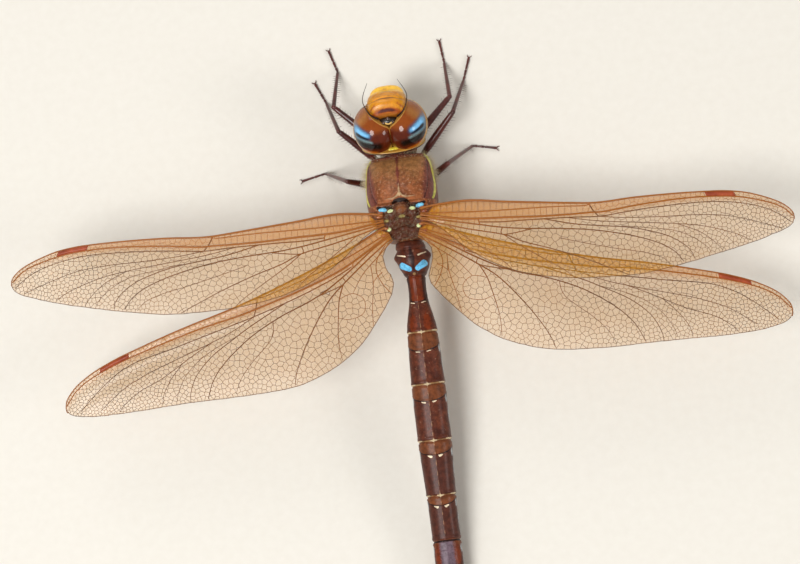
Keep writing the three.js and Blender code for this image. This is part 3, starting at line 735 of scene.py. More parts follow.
def make_thorax():
    shells = [thorax_box()]
    shells.append(loft([ring((0, y, NECK_HEIGHT), X, Z, w, h, 48) for y, w, h in NECK]))
    shells.append(loft([ring((abdomen_side(y), y, abdomen_height(y)), X, Z, w, h, 48)
                        for y, w, h in COLLAR]))
    for out, back, up, *radii in BOSSES:
        for side in (1, -1) if out else (1,):
            shells.append(ball((side * out, back, up), radii))
    piece = one_skin("thorax_skin", shells, SHELL_STEP, 3)
    smooth, carved = carve_thorax(piece)
    x, y, z = smooth.T
    mark_thorax(piece, x, y, z)

    # Fine hair stands on the flanks, the neck, between the wings and on the belly.
    out = abs(x)
    flank = np.clip((out - 2.8) / 0.8, 0, 1) * np.clip((-y - 3.8) / 1.5, 0, 1)
    flank = flank * np.clip((9.4 - z) / 0.8, 0, 1)
    neck = np.clip((-y - 7.6) / 0.5, 0, 1) * 0.7
    between_wings = np.where((y > -1.5) & (out < 2.3) & (z > 11.4), 1.0, 0)
    belly = np.where((z < 6) & (out < 4.4), 0.4, 0)
    # The flat unwrap goes round the long axis, cut along the belly.
    axis_height, front, rear = 8.0, -10.6, 3.2
    turn = np.arctan2(carved[:, 0], carved[:, 2] - axis_height) / (2 * math.pi) + 0.5
    unwrap = np.stack([0.05 + 0.9 * turn, 0.05 + 0.9 * (carved[:, 1] - front) / (rear - front)], 1)
    store_coat(piece, either(flank, neck, between_wings, belly, 0.1),
               0.3 + 0.7 * np.maximum(flank, neck) + 0.15 * between_wings, (0, 0.5, 0.15), unwrap)
    # The near-black hollow colour is painted shade.
    material = cuticle("thorax_cuticle", "9a5a34", "6e391d", [
        ("olive_front", "96693f"), ("plum", "6b352a"), ("seams", "421d16"), ("between", "552d1c"),
        ("amber", "7a4622"), ("hollow_shade", "1f0f0a"), ("ridge", "6c3329"), ("keel", "9c7460"),
        ("fork", "b3946f"), ("olive", "98874c"), ("yellow", "c2bd4c"), ("pale", "d3dca0"),
        ("blue", "79c9ec")], cloud=420.0, roughness=0.4, coat=0.1, shine=0.15,
        pale_flecks=("bda488", 3800.0, 0.66, 0.5), mottle=0.22)
    settle(piece, material, "thorax_cuticle", "pterothorax", "prothorax", "mesonotum", "metanotum")
    return piece


thorax = make_thorax()

# ---- Wing hinges -------------------------------------------------------------------------------------------
# Small horny plates on which each wing turns, let into the soft skin at its root. They are smooth amber and
# brown shields that overlap like scales, moulded with the thorax.
HINGES = {
    # plate: place out, back and up, then half-sizes in the same order, and which wing it belongs to
    "front_plate": (2.72, -0.6, 12.78, 0.42, 0.16, 0.14, "forewing"),
    "middle_plate": (2.93, -0.1, 12.84, 0.4, 0.2, 0.13, "forewing"),
    "rear_plate": (2.75, 0.85, 12.62, 0.34, 0.16, 0.13, "forewing"),
    "lens_plate": (2.65, 2.3, 12.24, 0.42, 0.2, 0.16, "hindwing"),
    "inner_plate": (2.25, 1.45, 12.42, 0.3, 0.17, 0.13, "hindwing"),
}
hinge_horn = cuticle("hinge_horn", "a8632f", "73301a", cloud=1300.0, roughness=0.3, coat=0.25, shine=0.3)
for side_name, side_sign in SIDES.items():
    for wing_pair in ("forewing", "hindwing"):
        plates = [ball((side_sign * x, y, z), radii, 28) for x, y, z, *radii, pair in HINGES.values()
                  if pair == wing_pair]
        hinge = new_piece("hinge_%s_%s" % (wing_pair, side_name), *joined(plates))
        settle(hinge, hinge_horn, "thorax_cuticle")

# ---- Head --------------------------------------------------------------------------------------------------
# Two great eyes of many thousand tiny lenses meet along the crown. Between them bulges a face of orange horny
# plates, and behind the face stands a black knob with three glassy simple eyes and two bristle-like feelers.
# Places are in the head's own lines, x to its left, y away from the face, z up to the crown.
HEAD = {"place": (0.25, -12.1, 9.2), "pitch": 36.0}
EYE = {"apart": 1.93, "back": -0.15, "radii": (2.94, 3.3, 3.7), "seam": 0.03, "flat_back": 2.2}
FACE = {"back": -1.9, "low": -4.2, "high": 2.0, "power": 2.6}
face_width = profile((-4.2, 1.1), (-3.6, 1.9), (-2.4, 2.3), (-1.2, 2.5), (0.4, 2.5), (1.5, 2.15), (2.0, 1.5))
face_front = profile((-4.2, -3.7), (-3.5, -4.4), (-2.8, -4.6), (-2.0, -4.42), (-1.2, -4.72), (0, -4.78),
                     (0.7, -4.6), (1.15, -4.62), (1.6, -4.2), (2.0, -3.4))
eye_inside = profile((-3.5, 2.75), (-3.25, 2.6), (-2.75, 2.0), (-2.15, 1.22), (-1.6, 0.52), (-1.1, 0.03),
                     (0, 0.03), (2.5, 0.03))  # how far from the middle an eye begins, at each place back
UPRIGHT = math.radians(28)  # by this angle the face leans back from a level look-out
SKYWARD = np.array([0, 0.13, 0.99])  # the way the crown of the eyes faces


def on_head(points):
    """The head's own points, turned up and moved to where it sits on the neck."""
    turn = np.array(Matrix.Rotation(math.radians(-HEAD["pitch"]), 3, "X"))
    return np.asarray(points) @ turn.T + HEAD["place"]


def rounded(distance, reach, least):
    """Share of full size at a distance from a round end."""
    return least + (1 - least) * np.sqrt(1 - (1 - np.clip(distance / reach, 0, 1)) ** 2)


def make_eye(name, side, material):
    ways, faces = ball((0, 0, 0), (1, 1, 1), 150)
    points = ways * EYE["radii"] + (side * EYE["apart"], EYE["back"], 0)
    points[:, 0] = side * np.maximum(side * points[:, 0], eye_inside(points[:, 1]))
    points[:, 1] = np.minimum(points[:, 1], EYE["flat_back"])
    piece = new_piece(name + "_lens", on_head(points), faces)
    out, back, up = (ways * (side, 1, 1)).T
    x, y, z = (points * (side, 1, 1)).T
    slope = on_head(ways / EYE["radii"]) - HEAD["place"]
    level = slope @ SKYWARD / np.linalg.norm(slope, axis=1)  # 1 where the eye faces the sky, 0 at its girth
    above = (up > -0.1) & (level > 0)
    outer = np.clip((out - 0.3) / 0.45, 0, 1)
    mark(piece, "front", -back - 0.3, 0.6, above)
    mark(piece, "tan", from_line(out, back, (0.3, -0.85), (0.95, -0.35), 0.08), 0.5, above)
    mark(piece, "rear", back - 0.3 + 0.1 * out, 0.4, above)
    mark(piece, "glow", from_line(out, back, (0.1, 0.68), (0.72, 0.55), 0.11), 0.3, above)
    mark(piece, "dark", from_line(out, back, (-0.1, 0.3), (1.0, 0.12), 0.17), 0.5, above)
    patch = from_line(out, back, (0.32, -0.22), (0.7, -0.28), 0.07 + 0.12 * outer)
    mark(piece, "deep_sky", patch + 0.06, 0.5, above)
    mark(piece, "sky", patch - 0.02, 0.4, above)
    mist = either(from_line(out, back, (0.2, 0.06), (0.82, -0.09), 0.01 + 0.04 * outer),
                  from_line(out, back, (0.82, -0.09), (0.9, -0.28), 0.04))
    mark(piece, "mist", mist, 0.45, above)
    mark(piece, "slit", from_line(out, back, (0.32, -0.09), (0.78, -0.17), 0.03 + 0.05 * outer), 0.16, above)
    mark(piece, "under", 0.08 - level, 0.22)
    edge = either(0.1 - (x - eye_inside(y)) - 3 * (y > -1.05), y - 2.03)
    seam = 0.015 - (x - EYE["seam"]) - 9 * (y < -1.15)
    mark(piece, "rim", either(edge, seam, 0.25 - level), 0.1)
    settle(piece, material, "eye_cornea", name)


def make_face():
    """The face's plates as one shell, with its seams sunk in."""
    across, deep = superellipse(144, FACE["power"])
    rings = []
    levels = [np.linspace(-4.2, -3.8, 9), np.linspace(-3.75, 1.6, 80), np.linspace(1.65, 2, 9)]
    for z in np.concatenate(levels):
        size = min(rounded(z - FACE["low"], 0.4, 0.45), rounded(FACE["high"] - z, 0.35, 0.62))
        middle, half = (FACE["back"] + face_front(z)) / 2, (FACE["back"] - face_front(z)) / 2
        x = across * face_width(z) * (0.5 + 0.5 * size)
        rings.append(np.stack([x, middle + deep * half * size, np.full(len(x), z)], -1))
    piece = new_piece("face_shell", *loft(rings))
    points = places_of(piece.data)
    points[:, 2] = np.minimum(points[:, 2], 2.0 - 0.75 * (points[:, 1] + 2.75).clip(0))
    move_to(piece.data, points)
    x, y, z = points.T
    down = y * math.cos(UPRIGHT) + z * math.sin(UPRIGHT)  # how far down the raised face a point lies
    front = y < -2.3
    brow = down + 3.81 - 0.096 * x ** 2
    lip = down + 4.79 - 0.3 * x ** 2
    middle_seam = down + 4.35 - 0.2 * x ** 2
    relief = -0.09 * bell(brow, 0.1) - 0.1 * bell(lip, 0.09) - 0.045 * bell(middle_seam, 0.08)
    relief += 0.07 * bell(down + 3.0, 0.4) * bell(x, 1.6)
    relief -= 0.06 * bell(from_ellipse(x, down, 0, -1.9, 0.8, 0.2), 0.3)
    move_to(piece.data, points + normals_of(piece.data) * (relief * front)[:, None])
    middle_line = np.where(abs(abs(x) - 1.1) < 0.6, 0.01 - abs(middle_seam), -1)
    seams = either(0.05 - abs(brow) - 0.02 * abs(x), 0.03 - abs(lip) - 0.02 * abs(x), middle_line)
    mark(piece, "seams", seams, 0.08, front)
    from_arc = abs(down + 2.12 - 0.12 * x ** 2)
    mark(piece, "ember", 0.36 - from_arc - 0.2 * np.maximum(abs(x) - 1.2, 0), 0.8)
    mark(piece, "arc", 0.22 - from_arc - 0.3 * np.maximum(abs(x) - 0.7, 0), 0.4)
    mark(piece, "corner", from_line(abs(x), down, (1.5, -2.9), (2.2, -2.2), 0.1), 0.6, front)
    mark(piece, "ochre", down + 1.8, 0.4, z > 1.2)
    mark(piece, "lemon", -down - 4.74 + 0.1 * x ** 2, 0.6, front)
    mark(piece, "rose", from_ellipse(x, down, 0.1, -5.0, 0.3, 0.1), 0.6)
    mark(piece, "cheek", abs(x) - 1.75, 0.7)
    # Painted shade: a near-black band along the face's edge where it meets the eyes stands for the shadow in
    # the gap between them.
    mark(piece, "groove_shade", abs(x) - eye_inside(y) + 0.12, 0.15, (z > 0.6) & (y > -3.6))
    move_to(piece.data, on_head(places_of(piece.data)))
    hairy = np.maximum(np.clip(abs(x) - 1.7, 0, 1), np.clip(-down - 4.6, 0, 1) * 0.6) * (z < 1.2)
    unwrap = 0.5 + 0.1 * np.stack([x, down + 3.5], 1)
    store_coat(piece, hairy, 0.5 + 0.5 * hairy, (0, -0.4, -0.2), unwrap)
    # The near-black groove colour is painted shade at the face's edge.
    material = cuticle("face_horn", "dc921c", "c67b12", [
        ("cheek", "c8850e"), ("lemon", "ffc73e"), ("rose", "d08a3a"), ("ochre", "9c5c18"),
        ("corner", "9a4a10"), ("ember", "a04a0c"), ("arc", "521205"), ("seams", "6a3510"),
        ("groove_shade", "1f120d")], cloud=1100.0, roughness=0.38, coat=0.2, shine=0.25, uneven=0.25)
    settle(piece, material, "face_cuticle", "frons", "clypeus", "labrum")
    return piece


def turned_shell(name, steps, centre, rise, widths, heights, size, count, power=2.0):
    """A piece whose rings have their centre and rounding given at each step, and their half-sizes here."""
    half_width, half_height = profile(*widths), profile(*heights)
    rings = [ring(centre(at), X, rise, half_width(at) * size(at), half_height(at) * size(at), count, power)
             for at in steps]
    return new_piece(name, *loft(rings))


def make_knob():
    """The black knob, its simple eyes and the feelers."""
    piece = turned_shell(
        "vertex_shell", np.linspace(1.2, 2.45, 40), lambda z: (0, -1.85, z), Y,
        [(1.2, 1.25), (1.8, 1.2), (2.2, 0.85), (2.45, 0.4)],
        [(1.2, 0.55), (1.8, 0.52), (2.2, 0.42), (2.45, 0.28)], lambda z: rounded(2.46 - z, 0.25, 0.3), 60)
    x, y, z = places_of(piece.data).T
    chevron = 0.12 - abs(y + 1.66 + 0.4 * abs(x)) - 0.5 * np.maximum(abs(x) - 0.55, 0)
    mark(piece, "vee", chevron, 0.06, z > 1.3)
    move_to(piece.data, on_head(places_of(piece.data)))
    black = cuticle("black_horn", "17110f", "0b0908", [("vee", "f0c878")], roughness=0.3, coat=0.4)
    bristle = cuticle("feeler_horn", "301513", "180b0a", roughness=0.35, coat=0.1, shine=0.2)
    settle(piece, black, "black_cuticle", "vertex")
    glass = cuticle("simple_eye_glass", "4a2a18", "24140e", roughness=0.16, coat=1.0, relief=0.000002)
    for name, centre, radius in [("ocellus_front", (0, -2.26, 2.05), 0.27),
                                 ("ocellus_left", (0.62, -1.86, 2.3), 0.22),
                                 ("ocellus_right", (-0.62, -1.86, 2.3), 0.22)]:
        points, faces = ball(centre, (radius, radius, radius), 28)
        settle(new_piece(name, on_head(points), faces), glass, "black_cuticle")
    for name, side in SIDES.items():
        line = [(side * x, y, z) for x, y, z in [(1.2, -2.35, 1.9), (1.6, -2.72, 2.15), (2.1, -3.2, 2.25),
                                                 (2.6, -4.0, 2.0), (2.85, -5.2, 1.3), (1.95, -7.1, 0.8)]]
        points, faces = limb(line, [0.13, 0.11, 0.075, 0.06, 0.05, 0.045, 0.035, 0.025], 12)
        settle(new_piece("antenna_%s_bristle" % name, on_head(points), faces), bristle, "black_cuticle",
               "antenna_" + name)


def limb(line, halves, count):
    """Points and faces of a round-ended tube along a line, with half-thicknesses spaced evenly along it."""
    dense = smooth_line(line, 16)
    steps = np.linalg.norm(np.diff(dense, axis=0), axis=1)
    far = np.concatenate([[0], np.cumsum(steps)])
    length = far[-1]
    cap = 1 - np.cos(np.linspace(0.2, math.pi / 2, 6))
    stations = np.concatenate([cap * halves[0], np.linspace(halves[0], length - halves[-1], 30)[1:-1],
                               length - cap[::-1] * halves[-1]])
    half = np.interp(stations / length, np.linspace(0, 1, len(halves)), halves)
    half = half * rounded(stations, halves[0], 0) * rounded(length - stations, halves[-1], 0)
    places = np.stack([np.interp(stations, far, dense[:, i]) for i in range(3)], -1)
    ways = np.gradient(places, axis=0)
    rings = []
    for place, way, size in zip(places, ways, half):
        side = unit(np.cross(way, Z))
        rings.append(ring(place, side, unit(np.cross(side, way)), size, size, count))
    return loft(rings)


def make_head_rear():
    """The plate that closes the head behind the eyes, and the yellow wedge where the eyes part."""
    plate = turned_shell(
        "head_rear_shell", np.linspace(2.15, 2.85, 24), lambda y: (0, y, -0.1), Z,
        [(2.15, 4.0), (2.35, 4.2), (2.6, 4.0), (2.85, 3.2)],
        [(2.15, 2.75), (2.35, 2.85), (2.6, 2.7), (2.85, 2.1)],
        lambda y: 0.75 + 0.25 * min(rounded(y - 2.14, 0.12, 0), rounded(2.86 - y, 0.3, 0)), 96, 2.2)
    x, y, z = places_of(plate.data).T
    mark(plate, "edge", 2.34 - y, 0.1)
    move_to(plate.data, on_head(places_of(plate.data)))
    material = cuticle("nape_horn", "4a2a1a", "2c1a12", [("edge", "b98a34")], roughness=0.4, coat=0.2)
    settle(plate, material, "head_rear_cuticle", "head_rear")
    points, faces = ball((0, 2.28, 1.9), (1.0, 0.34, 0.4), 40)
    wedge = new_piece("occiput", on_head(points), faces)
    yellow = cuticle("yellow_horn", "e8dd4a", "d6c232", roughness=0.3, coat=0.4)
    settle(wedge, yellow, "head_rear_cuticle")


def make_lip():
    """The lower lip, cleft down its middle, that closes the head from below."""
    lip = turned_shell(
        "labium_shell", np.linspace(-3.35, 1.5, 50), lambda y: (0, y, -4.85 + 0.16 * (y + 3)), Z,
        [(-3.35, 0.9), (-3.0, 1.45), (-1.6, 1.8), (0.2, 1.75), (1.5, 1.2)],
        [(-3.35, 0.3), (-3.0, 0.42), (-1.6, 0.5), (0.2, 0.5), (1.5, 0.35)],
        lambda y: min(rounded(y + 3.36, 0.3, 0.2), rounded(1.51 - y, 0.3, 0.2)), 72, 2.4)
    points = places_of(lip.data)
    notch = bell(points[:, 0], 0.09) * (points[:, 1] < -0.6)
    points[:, 2] += 0.16 * notch * (points[:, 2] < -4.9)
    # Painted shade: the cleft down the lip is painted darker brown.
    mark(lip, "groove_shade", notch - 0.5, 0.3)
    move_to(lip.data, on_head(points))
    straw = cuticle("lip_horn", "b98a3c", "96692a", [("groove_shade", "6a4420")], roughness=0.38, coat=0.25)
    settle(lip, straw, "face_cuticle", "labium")


eye_surface = cuticle("eye_lenses", "4c1808", "5c210c", [
    ("front", "87400f"), ("tan", "a06a34"), ("rear", "5a1c05"), ("glow", "b8620f"), ("dark", "0a0504"),
    ("mist", "86aeb0"), ("deep_sky", "234a68"), ("sky", "7fc2f2"), ("slit", "0c1522"), ("rim", "bd8a42"),
    ("under", "8d8a4c")],
    cloud=420.0, roughness=0.28, coat=0.55, relief=0.000004, pits=17000.0, shine=0.04, mottle=0.05,
    uneven=0.14, gloss=0.04)
for eye_side, eye_sign in SIDES.items():
    make_eye("eye_" + eye_side, eye_sign, eye_surface)
face = make_face()
make_knob()
make_head_rear()
make_lip()


# ---- Legs --------------------------------------------------------------------------------------------------
# Six spiny legs of glossy maroon horn, each with a short hip, a stout thigh, a slender shin and a foot of
# three joints that ends in two hooked claws. The front two pairs reach forwards, the hind pair out sideways.
HIPS = {
    # pair: where the hip leaves the thorax, and where the thigh begins, as (out, back, up)
    "front": ((1.3, -8.6, 5.4), (2.2, -11.0, 3.9)),
    "middle": ((1.6, -6.6, 4.0), (2.8, -8.9, 2.8)),
    "hind": ((1.7, -4.2, 3.6), (3.0, -5.6, 2.4)),
}
LEGS = {
    # leg: knee, ankle and toe
    "front_right": ((7.6, -15.9, 4.8), (7.2, -21.4, 0.21), (6.9, -24.6, 0.21)),
    "front_left": ((7.7, -16.7, 4.8), (7.0, -22.2, 0.21), (7.9, -25.4, 0.21)),
    "middle_right": ((7.8, -13.7, 5.4), (9.4, -18.6, 0.21), (10.6, -21.8, 0.21)),
    "middle_left": ((7.4, -13.3, 5.4), (9.0, -18.2, 0.21), (10.3, -21.3, 0.21)),
    "hind_right": ((6.4, -6.7, 7.4), (9.5, -9.8, 0.21), (12.8, -9.0, 0.21)),
    "hind_left": ((6.9, -6.2, 7.4), (10.3, -8.9, 0.21), (13.7, -8.3, 0.21)),
}
THIGH, SHIN = [0.36, 0.5, 0.48, 0.4, 0.34], [0.3, 0.27, 0.25, 0.22, 0.21]
SPINES = {"Spacing": 0.42, "Length": 0.76, "Thickness": 0.045, "Sides": 5}


def bowed(start, end, bow):
    """A line between two places that bows upwards."""
    start, end = np.array(start), np.array(end)
    return [start, (start + end) / 2 + np.array([0, 0, bow]), end]


def stored(tree, name, kind="FLOAT"):
    """What a geometry tree finds stored under this name."""
    return add_node(tree, "GeometryNodeInputNamedAttribute", {"Name": name},
                    data_type=kind).outputs["Attribute"]


def realized(tree, geometry):
    return add_node(tree, "GeometryNodeRealizeInstances", {"Geometry": geometry}).outputs[0]


def finish_tree(tree, geometry, given, end):
    """Ends a geometry tree by giving what it grew the material it was handed."""
    done = add_node(tree, "GeometryNodeSetMaterial", {"Geometry": geometry, "Material": given["Material"]})
    tree.links.new(done.outputs[0], end.inputs[0])


def make_spine_tree():
    """Geometry tree: leaning spines set evenly along guide lines that carry the way each row points."""
    tree, given, end = new_group(
        "GeometryNodeTree", "spine_rows",
        {"Guides": "Geometry", "Spacing": "Float", "Length": "Float", "Thickness": "Float", "Sides": "Int",
         "Seed": "Int", "Material": "Material"},
        {"Spines": "Geometry"})
    curve = add_node(tree, "GeometryNodeMeshToCurve", {"Mesh": given["Guides"]})
    places = add_node(tree, "GeometryNodeCurveToPoints", {
        "Curve": curve.outputs[0], "Length": given["Spacing"]}, mode="LENGTH")
    turn = add_node(tree, "FunctionNodeAlignRotationToVector", {
        "Vector": stored(tree, "way", "FLOAT_VECTOR")}, axis="Z")
    size = add_node(tree, "FunctionNodeRandomValue", {"Min": 0.6, "Max": 1.05, "Seed": given["Seed"]},
                    data_type="FLOAT")
    spine = add_node(tree, "GeometryNodeMeshCone", {
        "Vertices": given["Sides"], "Radius Top": 0.004, "Radius Bottom": given["Thickness"],
        "Depth": given["Length"]})
    spread_out = add_node(tree, "GeometryNodeInstanceOnPoints", {
        "Points": places.outputs["Points"], "Instance": spine.outputs["Mesh"],
        "Rotation": turn.outputs["Rotation"], "Scale": size.outputs["Value"]})
    finish_tree(tree, realized(tree, spread_out.outputs[0]), given, end)
    return tree


def grown(name, seedling, tree, values):
    """What a geometry tree grows from a seedling, which it uses up, with the tree's inputs set first."""
    modifier = seedling.modifiers.new("grow", "NODES")
    modifier.node_group = tree
    for item in tree.interface.items_tree:
        if item.in_out == "INPUT" and item.name in values:
            modifier[item.identifier] = values[item.name]
    mesh = as_plain_mesh(name, seedling)
    seedling.modifiers.remove(modifier)
    bpy.data.objects.remove(seedling)
    return new_object(name, mesh)


def new_lines(points, edges):
    """A mesh of bare lines, for a geometry tree to grow on."""
    mesh = bpy.data.meshes.new("lines")
    mesh.from_pydata(np.asarray(points, float).tolist(), edges, [])
    return new_object("lines", mesh)


def foot_shells(ankle, toe):
    """The three joints of a foot and its two hooked claws."""
    along = unit(toe - ankle)
    across = np.cross(along, Z)
    joints = [ankle + (toe - ankle) * share for share in (0, 0.2, 0.46, 0.94)]
    shells = [limb(bowed(start + Z * 0.02, end, 0.03), [0.15, 0.14, 0.16, 0.19], 14)
              for start, end in zip(joints[:-1], joints[1:])]
    for splay in (1, -1):
        tip = toe + along * 0.15 + across * splay * 0.3
        middle = toe - along * 0.1 + across * splay * 0.2 + Z * 0.1
        shells.append(limb([joints[-1], middle, tip - Z * 0.12], [0.08, 0.06, 0.03], 8))
    return shells


def spine_guides(bones):
    """Two lines under each of the thigh and shin, splayed apart, that carry the way their spines point."""
    points, edges, ways = [], [], []
    for start, end, half, reach in bones:
        along = unit(end - start)
        sideways = unit(np.cross(along, Z))
        under = unit(np.cross(along, sideways))
        under = under * (-1 if under[2] > 0 else 1)
        for splay in (1, -1):
            place = sideways * splay * 0.8 + under * 0.45
            way = unit(place + along * 0.5)
            first = len(points)
            for share in (0.14, 0.5, 0.9):
                points.append(start + (end - start) * share + place * half * 0.9)
                ways.append(way * reach)
            edges += [(first, first + 1), (first + 1, first + 2)]
    guides = new_lines(points, edges)
    store(guides, "way", ways)
    return guides


def make_leg(name, number):
    pair, side = name.split("_")
    root, hip, knee, ankle, toe = (np.array(place) * (SIDES[side], 1, 1)
                                   for place in HIPS[pair] + LEGS[name])
    shells = {
        "coxa": [limb(bowed(root, hip, 0.1), [0.85, 0.85, 0.75, 0.6, 0.5], 28),
                 ball(hip, (0.5, 0.5, 0.46), 24)],
        "femur": [limb(bowed(hip, knee, 0.15), THIGH, 24)],
        "tibia": [limb(bowed(knee, ankle, 0.1), SHIN, 20), ball(knee, (0.32, 0.34, 0.3), 20)],
        "tarsus": foot_shells(ankle, toe),
    }
    for part, pieces in shells.items():
        points, faces = joined(pieces)
        points[:, 2] = np.maximum(points[:, 2], 0)
        piece = new_piece("%s_%s_shell" % (part, name), points, faces)
        settle(piece, hip_horn if part == "coxa" else leg_horn,
               "thorax_cuticle" if part == "coxa" else "leg_cuticle", part + "_" + name)
    guides = spine_guides([(hip, knee, 0.4, 0.55), (knee, ankle, 0.22, 1.0)])
    spines = grown("spines_" + name, guides, spine_tree, dict(SPINES, Seed=number, Material=leg_horn))
    settle(spines, None, "leg_cuticle")


leg_horn = cuticle("leg_horn", "5a231c", "3a1512", cloud=700.0, roughness=0.3, coat=0.35, shine=0.3)
hip_horn = cuticle("hip_horn", "5e3322", "43231a", cloud=900.0, roughness=0.4, coat=0.1, shine=0.2)
spine_tree = make_spine_tree()
for leg_number, leg_name in enumerate(LEGS):
    make_leg(leg_name, leg_number)


# ---- Wings -------------------------------------------------------------------------------------------------
# Each wing is a clear amber film, a few thousandths of a millimetre thick, stretched between tubular veins. A
# few long veins run from the root to the margin, and the net between them is one row of cells where they lie
# close and many-sided cells where they part. Places on a wing are [out, back] from the root of its costa.
WING = {"camber": 0.15, "tip_fall": 1.2, "film": 0.02}  # the film is modelled a little thicker than life
ONE_ROW = 1.25  # fields no deeper than this have one row of cells
GRID_STEP = 0.05  # fineness of the grid on which the net is laid out
GRID_FRONT, GRID_REAR = -3.2, 13.2  # where the grid begins and ends, back along the wing
SPECK = 0.12  # fields smaller than this, in square millimetres, are shared out among their neighbours
SEED_TRIALS = 6000  # places tried for the middles of a wide field's cells
SAME_CORNER = 2.6 * GRID_STEP  # corners of the net closer than this are one
NET_HALF = {"cross": 0.027, "rim": 0.04}  # half-thickness of the cross veins, and of the wing's rear edge
CELL_WIDTHS = [0.85, 0.88, 0.75, 0.6, 0.43]  # at the root, two places out, where the net grows denser, the tip
# The lengthwise folds of a wing: distances behind its front edge, and the heights there.
PLEATS = ([0, 0.9, 1.7, 2.6, 3.6, 5.5], [0.06, -0.1, 0.1, -0.06, 0.04, 0])
BULGE = 0.035  # how far the middle of a cell may stand over or under its corners
VEIN_LIFT = 0.01  # how far the veins stand over the middle of the film
SPOT = {"over": 0.09, "under": -0.07, "slant": 0.35}  # how far a wing spot stands out, and its ends lean
# How deep the film's amber is everywhere, ahead of the radius and at the root, and how far these two reach.
TINT = {"all": 0.04, "front": 0.62, "root": 0.35, "front_reach": 0.9, "root_reach": 7.0, "past_spot": 0.45}
TONE_REACH = 14.0  # how far out the golden brown of the long veins fades to dark
FORE = {
    "length": 46.4,
    "leading": [(-1.5, .35), (0, -.1), (3.7, -.8), (6.5, -.93), (9, -.85), (15.5, -.87), (18.4, -.9),
                (20.4, -.95), (22.5, -1.2), (26, -1.8), (31, -2.4), (35, -2.75), (37.5, -2.88), (40, -2.75),
                (42.4, -2.25), (44.4, -1.6), (45.6, -.9), (46.2, -.3), (46.4, .3)],
    "trailing": [(-1.5, 1.75), (0, 2.1), (2, 3.3), (5, 5.5), (9, 7.4), (13, 8.4), (18, 8.8), (22, 8.6),
                 (27, 8.1), (32, 6.8), (37, 5.15), (41, 3.75), (44, 2.5), (45.5, 1.75), (46.2, 1.15),
                 (46.4, .6)],
    # name: [half-thickness at the root, at the end, (out, back) places...]
    "veins": {
        "subcosta": [.085, .06, (-1.5, .95), (3.2, .72), (6.5, .5), (10.6, .1), (13.5, -.18), (16.8, -.42),
                     (19.6, -.58), (20.4, -.95)],
        "radius": [.14, .07, (-1.5, 1.15), (4, 1.52), (10.6, 1.15), (13.6, 1), (17, .7), (20.4, .3),
                   (22.3, .1), (26.5, -.85), (31, -1.65), (35, -2.1), (39, -2.18), (42.4, -1.7), (44.8, -.95),
                   (46.2, .15)],
        "nodus": [.13, .1, (20.1, -.95), (20.35, -.55)],
        "subnodus": [.08, .06, (20.35, -.55), (20.9, .2), (21.5, .8)],
        "arculus": [.08, .07, (6.0, 1.45), (6.3, 2.25)],
        "sector_1": [.08, .04, (6.2, 1.9), (9, 1.8), (12, 1.5), (15, 1.25), (18, 1.0), (21.6, .8), (24.6, .2),
                     (28, -.45), (32, -1.05), (36, -1.45), (40, -1.3), (43.4, -.5), (46, .95)],
        "sector_2": [.05, .035, (21.6, .8), (25, .85), (30, .6), (34, .3), (38, .35), (42, 1.1), (45, 1.8)],
        "sector_2b": [.05, .035, (17.5, 1.05), (21, 1.35), (26, 1.45), (31, 1.5), (35, 1.75), (39, 2.6),
                      (41, 3.4)],
        "sector_2c": [.045, .03, (31.5, 1.5), (34.5, 2.5), (36.5, 3.8), (37.5, 4.8)],
        "sector_3": [.07, .04, (14.5, 1.3), (18.7, 1.85), (22.2, 2.0), (25.4, 2.13), (28, 2.5), (30.6, 3.15),
                     (32.6, 4.2), (33.6, 5.2), (33.9, 5.9)],
        "media": [.1, .045, (-1.5, 1.5), (3.3, 1.95), (6.3, 2.25), (9, 2.5), (12, 2.6), (16, 2.5),
                  (20.4, 2.55), (24, 2.9), (27, 3.4), (29.6, 4.15), (31.4, 5.1), (32.6, 6.35)],
        "triangle": [.07, .06, (9.2, 2.5), (9.4, 3.45), (13, 2.65)],
        "cubitus": [.09, .04, (-1.5, 1.65), (4.2, 2.75), (9.4, 3.45), (12, 4.3), (16, 5.2), (20, 6.3),
                    (23.6, 7.5), (25.6, 8.2)],
        "cubitus_2": [.06, .035, (9.4, 3.45), (11.6, 4.8), (14.5, 6.3), (17.4, 7.8), (18.8, 8.8)],
        "anal": [.06, .035, (2.0, 2.3), (4.2, 3.7), (6.4, 5.0), (9, 6.5), (10.6, 7.8)],
        "median_plait": [.04, .03, (16.5, 3.7), (20, 4.3), (24, 4.9), (27.5, 5.3), (29.8, 5.9), (31, 6.8)],
        "radial_plait": [.035, .03, (24.5, 1.95), (28, 2.15), (31, 2.35), (33.6, 3.2), (35.6, 4.5),
                         (36, 5.2)],
    },
    "nodus": 20.4, "dense_from": 30, "inner": [(0, -0.5), (9, -0.5)],
}
